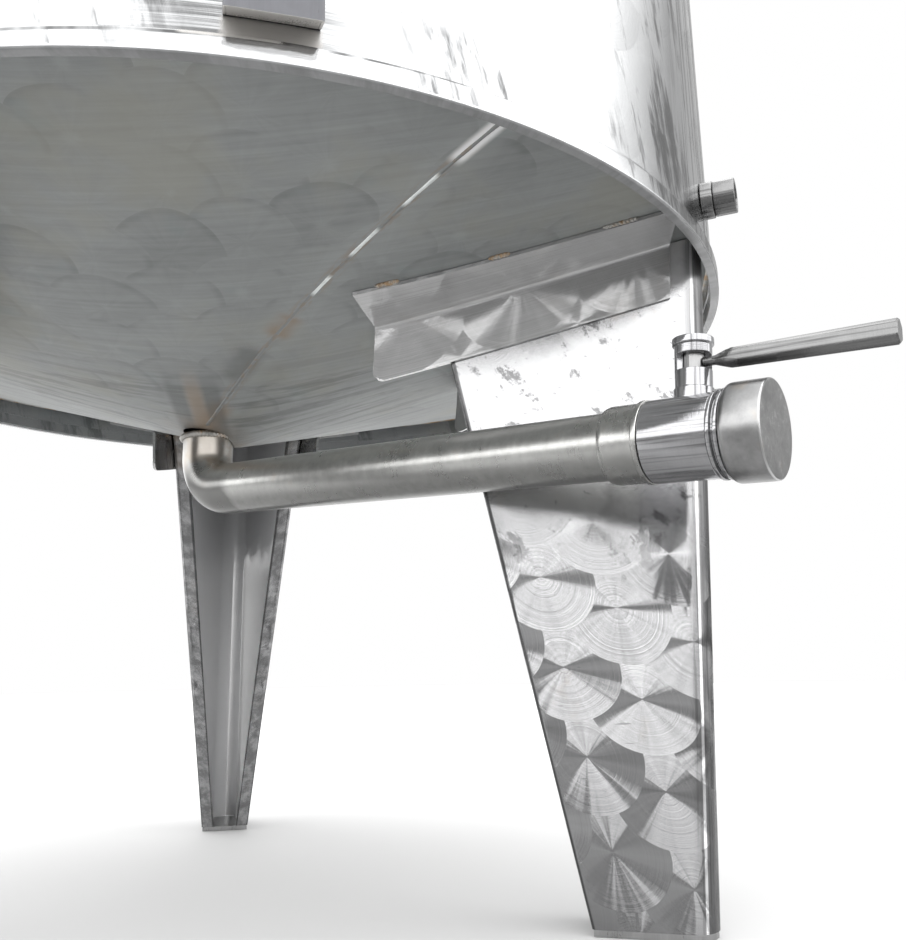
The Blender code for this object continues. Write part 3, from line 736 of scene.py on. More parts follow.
def bracket_steel(colours):
    """Swirl-ground sheet of the brackets, with a duller flange of plain sheet with a fine grain.

    Every second swirl sits at the fold and the others at the lower edge."""
    shade = Shade("swirl_ground_brackets")
    colour = colours.brackets
    u, v = shade.chart()
    flange = v.step(-BRACKET_FLANGE, -BRACKET_FLANGE + 0.006)
    u = u - 0.064
    v = v + BRACKET_FLANGE + 0.004
    disc = 0.060
    marks = (u, v, swirls(shade, u, v, disc, 0.052, 0.110, stagger=0.5))
    normal, rough, _, _ = ground_sheet(shade, colour, colours.heat_tint, marks, disc, 0.15, 0.12)
    grain = shade.noise(shade.join(u * 4.0, v * 900.0), 1.0, 3.0, 0.7)
    grain = (grain - 0.5).maths("MULTIPLY_ADD", 1.6, 0.5).clamp()
    shade.paint(flange * 0.8, shade.colours(grain, *shades_of(colour, 0.62, 1.15)))
    return shade.feed(Metallic=1.0 - flange * 0.45, Normal=normal, Roughness=rough)


def wall_steel(colours):
    """Bright sheet of the wall: faint swirls, long shallow waves and grey marks of painted reflection.

    The grey marks are painted reflections of the surroundings in the dented wall. They run down the
    wall, and beside the gauge they run round it. They are strongest in front, fade out at the map's
    own seam, and are joined by upright smears of painted reflection where the wall turns away to the
    right. The swirls' rays add painted highlight. The joint of the band is a dark line of uneven
    strength, the band beside it is darker, and the upright seam is a fine line. The lip of the band
    is painted pale and less metallic, as painted light in place of the floor's reflection. Its flat
    underside has the grey of the cone and a dark edge line, both painted shade. The wall under the
    gauge's guard is dull, with a painted reflection of the guard."""
    shade = Shade("bright_wall_sheet")
    u, v = shade.chart()
    x, y, z = shade.place()
    column = math.tau * SHELL_RADIUS / 42
    aside, below, mark = swirls(shade, u, v, 0.060, column, 0.090)
    normal, radius, rays = swirl_normal(shade, aside, below, mark, 0.05, lean=0.05)
    azimuth = u / SHELL_RADIUS - math.tau
    rings = shade.line_noise(radius + mark, 700.0, 2.0) - 0.5
    dark, dirt, band_shade, lip_painted_light = shades_of(colours.wall, 0.12, 0.10, 0.30, 1.85)
    underside_shade_grey, deep_shade_grey = shades_of(colours.wall, 0.60, 0.34)

    # Painted reflection: the grey marks, beside the gauge and in the upright smears too, stand in for the
    # surroundings mirrored in the dented wall.
    streak = shade.noise(shade.join(u * 26.0 + v * 7.0, v * 5.0, mark * 0.05), 1.0, 5.0, 0.72)
    patch = shade.noise(shade.spot(), 6.5, 3.0, 0.6)
    grey = streak.step(0.50, 0.62) * patch.step(0.44, 0.56) * abs(azimuth + math.pi).fall(2.85, 3.10)
    near_gauge = abs(azimuth - math.radians(-90.5)).fall(0.05, 0.17)
    near_gauge = near_gauge * z.fall(SHELL_Z + 0.026, SHELL_Z + 0.040)
    round_marks = shade.noise(shade.join(u * 5.0, z * 300.0, 2.0), 1.0, 5.0, 0.65)
    on_wall = z.step(SHELL_Z - 0.001, SHELL_Z + 0.003) * 0.65 + 0.35
    in_front = azimuth.step(-3.0, -2.4) * azimuth.fall(-0.7, -0.2)
    grey = near_gauge.blend(grey * (in_front * 0.5 + 0.5), round_marks.step(0.30, 0.62) * on_wall * 0.95)
    turned_away = azimuth.step(-0.86, -0.76) * azimuth.fall(-0.50, -0.40)
    turned_away = turned_away * z.fall(SHELL_Z + 0.30, SHELL_Z + 0.70)
    upright = shade.noise(shade.join(u * 80.0, z * 3.0, 5.0), 1.0, 3.0, 0.6).step(0.48, 0.58)
    grey = (grey + upright * turned_away * 0.75).clamp()
    # The darker grey of the painted reflections, with the swirls' rays as painted highlight.
    shade.base = shade.colours((grey * 0.9 + rings * 0.16 + rays * 0.10).clamp(), colours.wall, dark)

    band_line = abs(z - azimuth * 0.0057 - RIM_Z - 0.0224).fall(0.0006, 0.0016)
    wall_line = abs(z - SHELL_Z - 0.0042).fall(0.0010, 0.0026) * azimuth.step(-1.05, -0.90)
    broken = shade.line_noise(u, 26.0, 3.0).step(0.34, 0.62) * 0.75 + 0.15
    shade.paint((band_line + wall_line).clamp() * broken, dirt)
    seam_x = math.cos(WALL_SEAM)
    seam_y = math.sin(WALL_SEAM)
    beside = (x - AXIS_X) * -seam_y + (y - AXIS_Y) * seam_x
    facing = ((x - AXIS_X) * seam_x + (y - AXIS_Y) * seam_y).over(0.0)
    shade.paint(abs(beside).fall(0.0008, 0.0022) * facing * 0.85, dirt)
    on_band = z.fall(SHELL_Z - 0.0010, SHELL_Z) * azimuth.step(-0.95, -0.60) * azimuth.fall(-0.40, -0.05)
    shade.paint(on_band * 0.8, band_shade)
    # Painted light: the band's lip is pale and less metallic, in place of the floor's reflection, and weaker
    # on the right.
    lip = z.fall(RIM_Z + 0.0010, RIM_Z + 0.0030) * (1.0 - azimuth.step(-1.40, -0.70) * 0.55)
    shade.paint(lip * 0.9, lip_painted_light)
    # Painted shade: the flat underside of the lip is darkened to the cone's grey, with a dark line of painted
    # shade along its edge.
    flat = z.fall(RIM_Z + 0.0002, RIM_Z + 0.0007)
    shade.paint(flat, shade.colours(streak.step(0.42, 0.62) * 0.6, underside_shade_grey, deep_shade_grey))
    edge_line = span(z, RIM_Z + 0.0005, RIM_Z + 0.0010, 0.0004)
    shade.paint(edge_line * (streak * 0.8 + 0.3).clamp(), deep_shade_grey)
    # Painted reflection: the guard's image in the wall below it, painted as a dull greyish brown.
    guard_reflection = abs(azimuth - GUARD_AZIMUTH).fall(0.052, 0.064) * z.fall(RIM_Z + 0.030, RIM_Z + 0.032)
    guard_reflection = guard_reflection * z.step(SHELL_Z - 0.004, SHELL_Z - 0.002)
    shade.paint(guard_reflection, shade.colours(round_marks, *shades_of(colours.guard_reflection_and_light, 0.72, 1.0)))
    wave = shade.noise(shade.spot(0.35), 7.0, 1.0)
    return shade.feed(Roughness=grey * 0.12 + rings * 0.06 + guard_reflection * 0.2 + 0.12,
                      Metallic=1.0 - (lip * 0.7 + flat * 0.75 + guard_reflection * 0.65).clamp(),
                      Normal=shade.bump(wave, 0.25, 0.004, normal))


def seam_place(shade):
    """Distances along the bottom's weld and beside it.

    Beside a straight line the distance is a cross product, and the bow adds 4 h t (1 - t) to it,
    with t the share of the line's length."""
    x, y, _ = shade.place()
    off_x = x - (AXIS_X + SEAM_START[0])
    off_y = y - (AXIS_Y + SEAM_START[1])
    along = off_x * SEAM_WAY[0] + off_y * SEAM_WAY[1]
    share = along / SEAM_LENGTH
    return along, off_y * SEAM_WAY[0] - off_x * SEAM_WAY[1] + share * (1.0 - share) * (4 * SEAM_BOW)


def bottom_steel(colours):
    """Satin sheet of the bottom: faint scallops with painted highlights at their hearts and in their
    rays, brush lines that run across the tank, olive and grey clouds, dark rubbing round the drain,
    tint along the weld with a dark patch beside it, and a painted reflection of the riser, smeared,
    in front of the drain."""
    shade = Shade("satin_bottom_sheet", metallic=0.25, **{"Specular IOR Level": 0.25})
    x, y, _ = shade.place()
    disc = 0.044
    look_x = math.sin(CAMERA_YAW)
    look_y = math.cos(CAMERA_YAW)
    aside, below, mark = swirls(shade, x, y, disc, 0.057, 0.061, 0.020)
    normal, radius, rays = swirl_normal(shade, aside, below, mark, 0.06, lean=0.06)
    tone = shade.line_noise(mark, 9.1, 0.0) - 0.5
    rim = (radius / disc).step(0.80, 0.97) * (radius / disc).fall(0.97, 1.06)
    cloud = shade.noise(shade.spot(), 7.0, 4.0, 0.62)
    patchy = shade.noise(shade.spot(), 15.0, 3.0, 0.6)
    across = x * look_y - y * look_x
    away = x * look_x + y * look_y
    lines = shade.noise(shade.join(across * 9.0, away * 170.0), 1.0, 3.0, 0.65)
    dark, light, smear, bright, black = shades_of(colours.bottom, 0.72, 1.28, 1.35, 4.2, 0.42)
    # The rays add painted highlight: bright and dark fans in each scallop.
    grey = ((cloud - 0.5) * 1.0 + tone * 0.34 + rays * 0.30 - rim * patchy.step(0.45, 0.55) * 0.22
            + (lines - 0.5) * 0.8 + 0.5)
    shade.base = shade.colours(grey.clamp(), dark, light)
    shade.paint(cloud.step(0.50, 0.68) * 0.5, colours.bottom_olive)
    shade.paint(patchy.step(0.58, 0.70) * 0.3, colours.bottom_teal)
    # Painted highlight: a bright heart at the middle of each scallop.
    shade.paint(radius.fall(0.002, 0.010) * patchy.step(0.46, 0.58) * 0.35, smear)
    off_x = x - (AXIS_X + DRAIN_OFFSET_X)
    off_y = y - AXIS_Y
    from_drain = (off_x * off_x + off_y * off_y).root()
    low_marks = shade.noise(shade.join(across * 7.0, away * 75.0, 3.0), 1.0, 4.0, 0.7).step(0.48, 0.62)
    shade.paint(from_drain.fall(0.16, 0.34) * away.step(-0.16, -0.08) * low_marks * 0.5, black)

    along, beside = seam_place(shade)
    ahead = along.over(0.0)
    off = abs(beside)
    shade.paint(off.fall(0.010, 0.026) * ahead * 0.22, smear)
    spots = shade.noise(shade.join(beside * 6.0, along), 46.0, 3.0, 0.6).step(0.46, 0.60)
    shade.paint(off.fall(0.002, 0.009) * spots * ahead * 0.55, colours.straw)
    brown = span(along, 0.176, 0.196, 0.010) + span(along, -0.02, 0.040, 0.016)
    brown = brown * off.fall(0.004, 0.018) * (patchy.step(0.34, 0.52) * 0.6 + 0.4)
    shade.paint((brown * 0.9).clamp(), colours.straw)
    # A darker patch beside the weld.
    dark_patch_by_weld = span(along, 0.100, 0.135, 0.020) * abs(beside + 0.008).fall(0.004, 0.020)
    shade.paint(dark_patch_by_weld * patchy.step(0.36, 0.56) * 0.55, black)
    shade.paint(span(along, 0.415, 0.452, 0.012) * off.fall(0.003, 0.009) * 0.8, bright)

    # Painted reflection: the riser's smeared image in front of the drain, dark at its sides and straw in its
    # middle.
    nearer = off_x * -look_x - off_y * look_y
    sideways = abs(off_x * look_y - off_y * look_x - nearer * 0.10)
    image = nearer.step(0.0, 0.02) * nearer.fall(0.08, 0.15)
    shade.paint(span(sideways, 0.012, 0.022, 0.008) * image * 0.55, black)
    shade.paint(sideways.fall(0.003, 0.012) * image * 0.8, colours.straw)
    shade.paint(from_drain.fall(0.028, 0.060) * cloud.step(0.40, 0.60) * 0.6, colours.straw)
    return shade.feed(Roughness=(cloud - 0.5) * 0.16 + tone * 0.05 + 0.48,
                      Normal=shade.bump(cloud, 0.3, 0.003, normal))


def seam_steel(colours):
    """The bottom's weld bead: dull like the sheet, with dashes that were ground bright."""
    shade = Shade("bottom_weld_bead", metallic=0.7, roughness=0.4)
    along, _ = seam_place(shade)
    first, second, third = (span(along, low, high, 0.008)
                            for low, high in ((0.360, 0.388), (0.295, 0.321), (0.240, 0.257)))
    patch = shade.noise(shade.spot(), 90.0, 3.0, 0.6)
    ground, dull = shades_of(colours.bottom, 3.4, 0.95)
    shade.base = shade.colours(patch.step(0.50, 0.62) * 0.6, dull, colours.straw)
    shade.paint(((first + second + third) * (patch * 0.9 + 0.45)).clamp(), ground)
    return shade.feed(Roughness=patch * 0.3 + 0.25)


def brushed_tube(name, colour, tint, roughness, painted_light_split=None, edge=-1.0, elbow=False):
    """Tube and cap rubbed round with an abrasive cloth: fine rings, dull blotches and a little tint.

    With a radius and start given, the lower half gets painted shade and the upper one painted light:
    the radius is that of the map, and the start the angle at which the map starts. Edge is the length
    along the profile at which a turned corner gets a painted highlight line. The face past it is
    mottled, and what faces down gets painted shade. On the drain tube the elbow and the outer side
    of its bend get more painted shade, and the riser's top painted light."""
    shade = Shade(name)
    u, v = shade.chart()
    rings = shade.noise(shade.join(v, u * 0.045), 1500.0, 2.0, 0.6)
    coarse = shade.noise(shade.join(v, u * 0.12, 5.0), 210.0, 2.0, 0.5)
    blotch = shade.noise(shade.spot(), 34.0, 4.0, 0.62)
    mottle = shade.noise(shade.spot(), 110.0, 3.0, 0.65)
    dark, light, bright, painted_shade_colour = shades_of(colour, 0.62, 1.30, 1.7, 0.30)
    tones = (coarse - 0.5) * 0.25 + (blotch - 0.5) * 1.0 + (mottle - 0.5) * 0.9 + 0.5
    shade.base = shade.colours(tones.clamp(), dark, light)
    shade.paint(blotch.step(0.60, 0.74) * 0.24, tint)
    if painted_light_split:
        radius, start = painted_light_split
        # Painted light and shade: the lower half is painted darker as shade, the upper half lighter as light.
        turned = (u / radius + start).maths("SINE")
        lower = turned.step(-0.15, 0.75) * (mottle * 0.6 + 0.6) * 0.85
        shade.paint(turned.fall(-0.90, -0.15) * 0.8, bright)
        if elbow:
            # On the elbow: painted shade on the outer side of the bend and near the riser, painted light at
            # the riser's top. The brown is real tint.
            bend = span(v, 0.046, 0.095, 0.020)
            lower = (lower + bend * turned.step(-0.80, 0.10) * 0.75).clamp()
            shade.paint(v.fall(0.018, 0.034) * 0.35, bright)
            shade.paint(v.fall(0.055, 0.075) * 0.35, dark)
            shade.paint(v.fall(0.050, 0.090) * blotch.step(0.44, 0.58) * 0.35, tint)
        shade.paint(lower, painted_shade_colour)
    if edge > 0.0:
        # Painted shade on what faces down.
        shade.paint(shade.facing_down() * 0.30, painted_shade_colour)
        face = shade.noise(shade.spot(), 75.0, 5.0, 0.75)
        on_face = v.over(edge)
        shade.paint(on_face * face.step(0.50, 0.62) * 0.45, dark)
        shade.paint(on_face * face.fall(0.38, 0.46) * 0.5, bright)
        # Painted highlight along the turned corner.
        shade.paint(abs(v - edge).fall(0.0004, 0.0012) * 0.7, bright)
    return shade.feed(Roughness=(blotch - 0.5) * 0.12 + (coarse - 0.5) * 0.05 + roughness,
                      Normal=shade.bump(rings, 0.07, 0.0004))


def rubbed_plate(name, colour, metallic=1.0, below=None):
    """Small plates rubbed lengthways: fine upright lines, dull clouds and, where a colour is given for
    the faces that look down, painted light on them that lifts the shade under the plate."""
    shade = Shade(name, metallic=metallic)
    lines = shade.noise(shade.spot(0.03), 900.0, 2.0, 0.6)
    cloud = shade.noise(shade.spot(), 30.0, 4.0, 0.6)
    dark, light = shades_of(colour, 0.70, 1.25)
    shade.base = shade.colours(((cloud - 0.5) * 1.2 + (lines - 0.5) * 0.5 + 0.5).clamp(), dark, light)
    # Painted light on the faces that look down.
    if below:
        shade.paint(shade.facing_down(), below)
    return shade.feed(Roughness=(cloud - 0.5) * 0.2 + (lines - 0.5) * 0.1 + 0.30,
                      Normal=shade.bump(lines, 0.2, 0.0004))


def polished_steel(name, colour, roughness=0.10):
    """Turned and polished fittings: a dark mirror with hair-fine turning lines, smears, dark painted
    reflections along the axis and painted shade on the faces below."""
    shade = Shade(name, metallic=0.78)
    u, v = shade.chart()
    lines = shade.line_noise(v, 1500.0, 2.0)
    streaks = shade.noise(shade.join(u * 300.0, v * 5.0), 1.0, 3.0, 0.7)
    smear = shade.noise(shade.spot(), 46.0, 3.0, 0.55)
    dark, light, black = shades_of(colour, 0.72, 1.25, 0.22)
    shade.base = shade.colours(((lines - 0.5) * 0.5 + (smear - 0.5) * 0.9 + 0.5).clamp(), dark, light)
    # Painted reflection: dark lines along the axis. Then painted shade on the faces that look down.
    shade.paint(streaks.step(0.46, 0.68) * 0.75, black)
    shade.paint(shade.facing_down() * 0.40, black)
    return shade.feed(Roughness=(smear - 0.5) * 0.10 + (lines - 0.5) * 0.03 + roughness,
                      Normal=shade.bump(lines, 0.10, 0.0003))


def bead_steel(colours):
    """Weld metal: rough and grey, with straw and brown where it was hottest."""
    shade = Shade("weld_bead")
    patch = shade.noise(shade.spot(), 60.0, 3.0, 0.6)
    fine = shade.noise(shade.spot(), 500.0, 3.0, 0.6)
    shade.base = shade.colours(patch.step(0.46, 0.62), colours.bead, colours.heat_tint)
    shade.paint(patch.step(0.66, 0.76), shaded(colours.heat_tint, 0.45))
    return shade.feed(Roughness=(fine - 0.5) * 0.3 + 0.42, Normal=shade.bump(fine, 0.4, 0.0006))


def gauge_tube(colours):
    """Milky clear tube of the level gauge."""
    shade = Shade("gauge_tube", metallic=0.0, roughness=0.12, IOR=1.49)
    haze = shade.noise(shade.spot(0.3), 60.0, 2.0)
    shade.base = shade.colours(haze, colours.gauge, shaded(colours.gauge, 0.82))
    return shade.feed(Roughness=haze * 0.2 + 0.08)


def knob_plastic(colours):
    """Moulded black plastic of the lid's knob."""
    shade = Shade("moulded_knob", metallic=0.0, roughness=0.4)
    grain = shade.noise(shade.spot(), 900.0, 2.0)
    rub = shade.noise(shade.spot(), 70.0, 2.0)
    shade.base = shade.colours(rub, colours.knob, shaded(colours.knob, 1.8))
    return shade.feed(Roughness=rub * 0.2 + 0.34, Normal=shade.bump(grain, 0.25, 0.0003))


def build_finishes(colours):
    """Every material of the tank, by name."""
    tint = colours.heat_tint
    return {
        "wall": wall_steel(colours),
        "leg": leg_steel(colours),
        "bracket": bracket_steel(colours),
        "bottom": bottom_steel(colours),
        "seam": seam_steel(colours),
        "pipe": brushed_tube("satin_tube", colours.tube, tint, 0.29, (PIPE_RADIUS, 0.0), elbow=True),
        "sleeve": brushed_tube("satin_sleeve", colours.tube, tint, 0.27, (SLEEVE_RADIUS, math.pi / 2)),
        "cap": brushed_tube("satin_cap", colours.cap, tint, 0.30, edge=CAP_EDGE),
        "plate": rubbed_plate("rubbed_plate", colours.plate),
        # The guard's faces that look down get painted light.
        "guard": rubbed_plate("grey_guard_plate", colours.guard, 0.2, shaded(colours.guard_reflection_and_light, 1.15)),
        "polished": polished_steel("polished_fittings", colours.polished),
        "fitting": polished_steel("dark_fittings", colours.fitting, 0.20),
        "lever": polished_steel("satin_lever", colours.lever, 0.20),
        "bead": bead_steel(colours),
        "gauge": gauge_tube(colours),
        "knob": knob_plastic(colours),
    }


FINISHES = {}


# Sizes and colours

class TankSizes(bpy.types.PropertyGroup):
    """Sizes of the details that the solids leave open."""
    wall_wave: FloatProperty(name="Wall waves", description="How far the rolled wall leaves a true cylinder",
                             default=0.0006, min=0.0, unit="LENGTH")
    edge_round: FloatProperty(name="Sheet edges", description="Rounding of the cut edges of the sheet",
                              default=0.0006, min=0.0, unit="LENGTH")
    bead_width: FloatProperty(name="Weld width", description="Width of the weld beads", default=0.005,
                              min=0.001, unit="LENGTH")
    floor_radius: FloatProperty(name="Floor radius", description="Radius of the floor disc", default=9.0,
                                min=1.0, unit="LENGTH")


def colour_property(name, description, default):
    """A colour that a user may change."""
    return FloatVectorProperty(name=name, description=description, default=default, subtype="COLOR",
                               size=3, min=0.0, max=1.0)


class TankColours(bpy.types.PropertyGroup):
    """Colours of the finishes."""
    wall: colour_property("Wall", "Bright wall sheet", (0.46, 0.465, 0.47))
    bottom: colour_property("Bottom", "Satin sheet of the conical bottom", (0.270, 0.280, 0.278))
    bottom_olive: colour_property("Bottom cast", "Warm cast in the bottom sheet", (0.275, 0.270, 0.228))
    bottom_teal: colour_property("Bottom cool cast", "Cool cast in the bottom sheet", (0.228, 0.268, 0.268))
    legs: colour_property("Legs", "Swirl-ground sheet of the legs", (0.42, 0.42, 0.425))
    brackets: colour_property("Brackets", "Swirl-ground sheet of the brackets", (0.57, 0.57, 0.57))
    tube: colour_property("Drain tube", "Satin drain tube", (0.53, 0.53, 0.515))
    cap: colour_property("Cap", "Satin blank cap", (0.30, 0.30, 0.30))
    plate: colour_property("Plates", "Rubbed small plates", (0.30, 0.30, 0.30))
    lever: colour_property("Lever", "Satin lever", (0.21, 0.21, 0.21))
    polished: colour_property("Polished", "Turned and polished fittings", (0.40, 0.40, 0.41))
    fitting: colour_property("Fittings", "Darker turned fittings on the wall", (0.22, 0.22, 0.22))
    guard: colour_property("Guard", "Grey plate of the gauge guard", (0.108, 0.110, 0.122))
    # Painted reflection of the guard on the wall below it, and painted light on the guard's faces that look
    # down
    guard_reflection_and_light: colour_property("Guard shade", "Dull wall below the gauge guard", (0.50, 0.485, 0.465))
    straw: colour_property("Straw", "Pale heat tint on the bottom", (0.290, 0.235, 0.185))
    bead: colour_property("Weld", "Weld metal", (0.40, 0.39, 0.37))
    heat_tint: colour_property("Heat tint", "Straw and brown beside the welds", (0.36, 0.25, 0.15))
    gauge: colour_property("Gauge", "Tube of the level gauge", (0.78, 0.84, 0.84))
    knob: colour_property("Knob", "Black plastic", (0.02, 0.02, 0.022))
    floor: colour_property("Floor", "Plain pale floor", (1.0, 1.0, 1.0))


# Operators

class TANK_OT_finishes(bpy.types.Operator):
    """Make every finish of the tank"""
    bl_idname = "tank.finishes"
    bl_label = "Finishes"

    def execute(self, context):
        FINISHES.update(build_finishes(context.scene.tank_colours))
        return {"FINISHED"}


class TANK_OT_wall(bpy.types.Operator):
    """Build the wall with its bands, as one smooth sheet"""
    bl_idname = "tank.wall"
    bl_label = "Wall and bands"

    def execute(self, context):
        centre = axis_frame()
        depth = context.scene.tank_sizes.wall_wave
        fade_length = 0.04

        def wave(turn, height):
            """Crossed waves about a line one wave inside the true radius, faded out at both ends."""
            from_end = np.minimum(height - SHELL_Z, SHELL_TOP - height)
            fade = np.clip(from_end / fade_length, 0, 1)
            crossed = np.sin(5 * turn + 2.1 * height) * np.sin(7.3 * height + 1.3)
            return depth * (crossed + 0.5 * np.sin(11 * turn - 9 * height)) * fade - depth

        corners = closed(np.array([(SHELL_RADIUS, SHELL_Z), (SHELL_RADIUS, SHELL_TOP),
                                   (INNER_RADIUS, SHELL_TOP), (INNER_RADIUS, SHELL_Z)]))
        make_piece("tank_wall", [lathe(finer(corners, 0.03), ROUND_STEPS, wave)], centre, "wall",
                   [f"shell_plate_{i}" for i in range(1, 5)])
        for name, low, high in (("bottom", RIM_Z, SHELL_Z), ("top", SHELL_TOP, TOP_BAND_Z)):
            corners = hollow(INNER_RADIUS, RIM_RADIUS, low, high)
            turned_piece(f"{name}_rim", corners, [0, 0.0022, 0.0030, 0], 5, ROUND_STEPS, centre, "wall",
                         f"{name}_band")
        return {"FINISHED"}


class TANK_OT_bottom(bpy.types.Operator):
    """Build the conical bottom with its radial weld"""
    bl_idname = "tank.bottom"
    bl_label = "Conical bottom"

    def execute(self, context):
        centre = axis_frame()
        turn = np.linspace(0, math.tau, 241)[None, :]
        share = np.linspace(0, 1, 60)[:, None]
        # Each line runs straight from a point of the drain's hole to the same angle of the sheet's edge
        x = (DRAIN_OFFSET_X + DRAIN_HOLE * np.cos(turn)) * (1 - share) + SHEET_EDGE * np.cos(turn) * share
        y = DRAIN_HOLE * np.sin(turn) * (1 - share) + SHEET_EDGE * np.sin(turn) * share
        low = joined(x, y, bottom_z(np.hypot(x, y)))
        high = low + np.array((0, 0, CONE_SHEET))
        chart = joined(x, y)
        grids = [(low, chart), (high, chart)] + four_sides(low, high, chart)[:2]
        make_piece("bottom_sheet", grids, centre, "bottom", ["bottom_cone"])

        # The weld's line in plan is straight, plus a bow of 4 h t (1 - t) to its side
        share = np.linspace(0, 1, 260)[:, None]
        bow = np.array((SEAM_WAY[1], -SEAM_WAY[0])) * SEAM_BOW * 4 * share * (1 - share)
        flat = SEAM_START + (SEAM_END - SEAM_START) * share + bow
        radius = np.hypot(*flat.T)[:, None]
        normals = unit(np.hstack((BOTTOM_SLOPE * flat / radius, -np.ones_like(radius))))
        path = np.hstack((flat, bottom_z(radius)))
        width = context.scene.tank_sizes.bead_width * 0.75
        bead = weld_bead(path, normals, width, height=0.0006, pitch=0.004)
        make_piece("bottom_seam", bead, centre, "seam")
        # The rim's weld is a circle in the corner between the cone and the band
        turn = np.linspace(0, math.tau, 721)
        radius = SHEET_EDGE - 0.0012
        path = joined(radius * np.cos(turn), radius * np.sin(turn), bottom_z(radius))
        normals = joined(-np.cos(turn), -np.sin(turn), -1.0) / math.sqrt(2)
        bead = weld_bead(path, normals, width=0.0035, height=0.0010, pitch=0.005)
        make_piece("rim_seam", bead, centre, "bead")
        return {"FINISHED"}


class TANK_OT_roof(bpy.types.Operator):
    """Build the roof with its manway and vent"""
    bl_idname = "tank.roof"
    bl_label = "Roof and manway"

    def execute(self, context):
        centre = axis_frame()
        hole_z = roof_z(ROOF_HOLE)
        edge_z = roof_z(SHEET_EDGE)
        corners = closed(np.array([(ROOF_HOLE, hole_z), (SHEET_EDGE, edge_z),
                                   (SHEET_EDGE, edge_z - CONE_SHEET), (ROOF_HOLE, hole_z - CONE_SHEET)]))
        make_piece("roof_sheet", [lathe(finer(corners, 0.02), 240)], centre, "wall", ["roof_cone"])
        high = NECK_HIGH.z
        turned_piece("manway_ring", hollow(MANWAY_RADIUS - 0.003, MANWAY_RADIUS, NECK_LOW.z, high),
                     [0, 0.0006, 0.0006, 0.0006], 3, 192, centre, "wall", "manway_neck")

        # The lid's dome falls with the square of the distance from its middle
        rim = MANWAY_RADIUS + 0.010
        lip = high - 0.012
        top = np.linspace(0, 1, 24)
        dome = joined(rim * top, high + 0.0043 + 0.026 * (1 - top ** 2))
        inner = rim - 0.003
        edge = soft_corners([dome[-1], (rim, lip), (inner, lip), (inner, high + GAP), (0.0, high + GAP)],
                            [0, 0.0008, 0.0008, 0, 0], 3)
        make_piece("manway_cover", [lathe(np.vstack((dome, edge[1:])), 192)], centre, "wall", ["manway_lid"])
        knob = [(0.0, 0.0343), (0.020, 0.0343), (0.028, 0.027), (0.028, 0.017), (0.010, 0.009),
                (0.010, GAP), (0.0, GAP)]
        turned_piece("cover_knob", [(radius, LID_TOP + height) for radius, height in knob],
                     [0, 0.006, 0.006, 0.008, 0.004, 0, 0], 6, 64, centre, "knob", "lid_knob")

        spot = Matrix.Translation(((VENT_LOW.x + VENT_HIGH.x) / 2, (VENT_LOW.y + VENT_HIGH.y) / 2, 0))
        reach = (VENT_HIGH.x - VENT_LOW.x) / 2
        low = VENT_LOW.z
        turned_piece("vent_tube", hollow(reach - 0.002, reach, low, VENT_HIGH.z), [0, 0, 0.0008, 0.0008],
                     3, 64, spot, "polished", "vent_pipe")
        ring_bead("manway_bead", MANWAY_RADIUS + 0.0012, roof_z(MANWAY_RADIUS) + 0.0012, centre, 0.006)
        ring_bead("vent_bead", reach + 0.0012, low + 0.0015, spot, 0.005, 1.0)
        return {"FINISHED"}


def leg_share(z):
    """How far down a height lies on the way from the rim to the floor, from 0 to 1."""
    return (RIM_Z - z) / RIM_Z


def leg_width(share):
    """Length of a leg's side face at a share of the way down."""
    return LEG_WIDTHS[0] + (LEG_WIDTHS[1] - LEG_WIDTHS[0]) * share


def leg_half_angle(share):
    """Half the angle between a leg's faces: its sine is the even spread over the width."""
    return np.arcsin((LEG_SPREADS[0] + (LEG_SPREADS[1] - LEG_SPREADS[0]) * share) / leg_width(share))


def leg_outline(z, inset):
    """A leg's outline at one height, from lip to lip round the nose, moved inwards by the inset.

    The lip and the side are straight, the bend between them is a quadratic arc and the nose a
    round one. The second half mirrors the first."""
    share = leg_share(z)
    half = leg_half_angle(share)
    lip = LEG_LIPS[0] + (LEG_LIPS[1] - LEG_LIPS[0]) * share
    centre = LEG_FACE_X - LEG_LEAN * share - LEG_NOSE_RADIUS * math.sin(half)
    turn = np.linspace(half - math.pi / 2, 0, 9)
    nose = joined(centre + LEG_NOSE_RADIUS * np.cos(turn), LEG_NOSE_RADIUS * np.sin(turn))
    back = np.array((-math.cos(half), -math.sin(half)))
    far = nose[0] + back * leg_width(share)
    t = np.linspace(0, 1, 7)[:, None]
    bend = far + (1 - t) ** 2 * np.array((0.0, LEG_BEND)) - t ** 2 * back * LEG_BEND
    edge = far + np.linspace(lip, LEG_BEND, 4)[:-1, None] * np.array((0.0, 1.0))
    side = bend[-1] + (nose[0] - bend[-1]) * np.linspace(0, 1, 13)[1:-1, None]
    half_line = np.vstack((edge, bend, side, nose))
    return offset_line(np.vstack((half_line, half_line[-2::-1] * (1, -1))), inset)


def on_leg_face(z, station, away):
    """Places off a leg's face, at distances from its nose along the face and out from it."""
    share = leg_share(z)
    half = leg_half_angle(share)
    x = LEG_FACE_X - LEG_LEAN * share - station * np.cos(half) + away * np.sin(half)
    y = -LEG_NOSE_RADIUS * np.cos(half) - station * np.sin(half) - away * np.cos(half)
    return x, y


def under_cone(z, station, away):
    """Height just under the bottom cone at a place off a leg's face."""
    return bottom_z(np.hypot(*on_leg_face(z, station, away))) - 2 * GAP


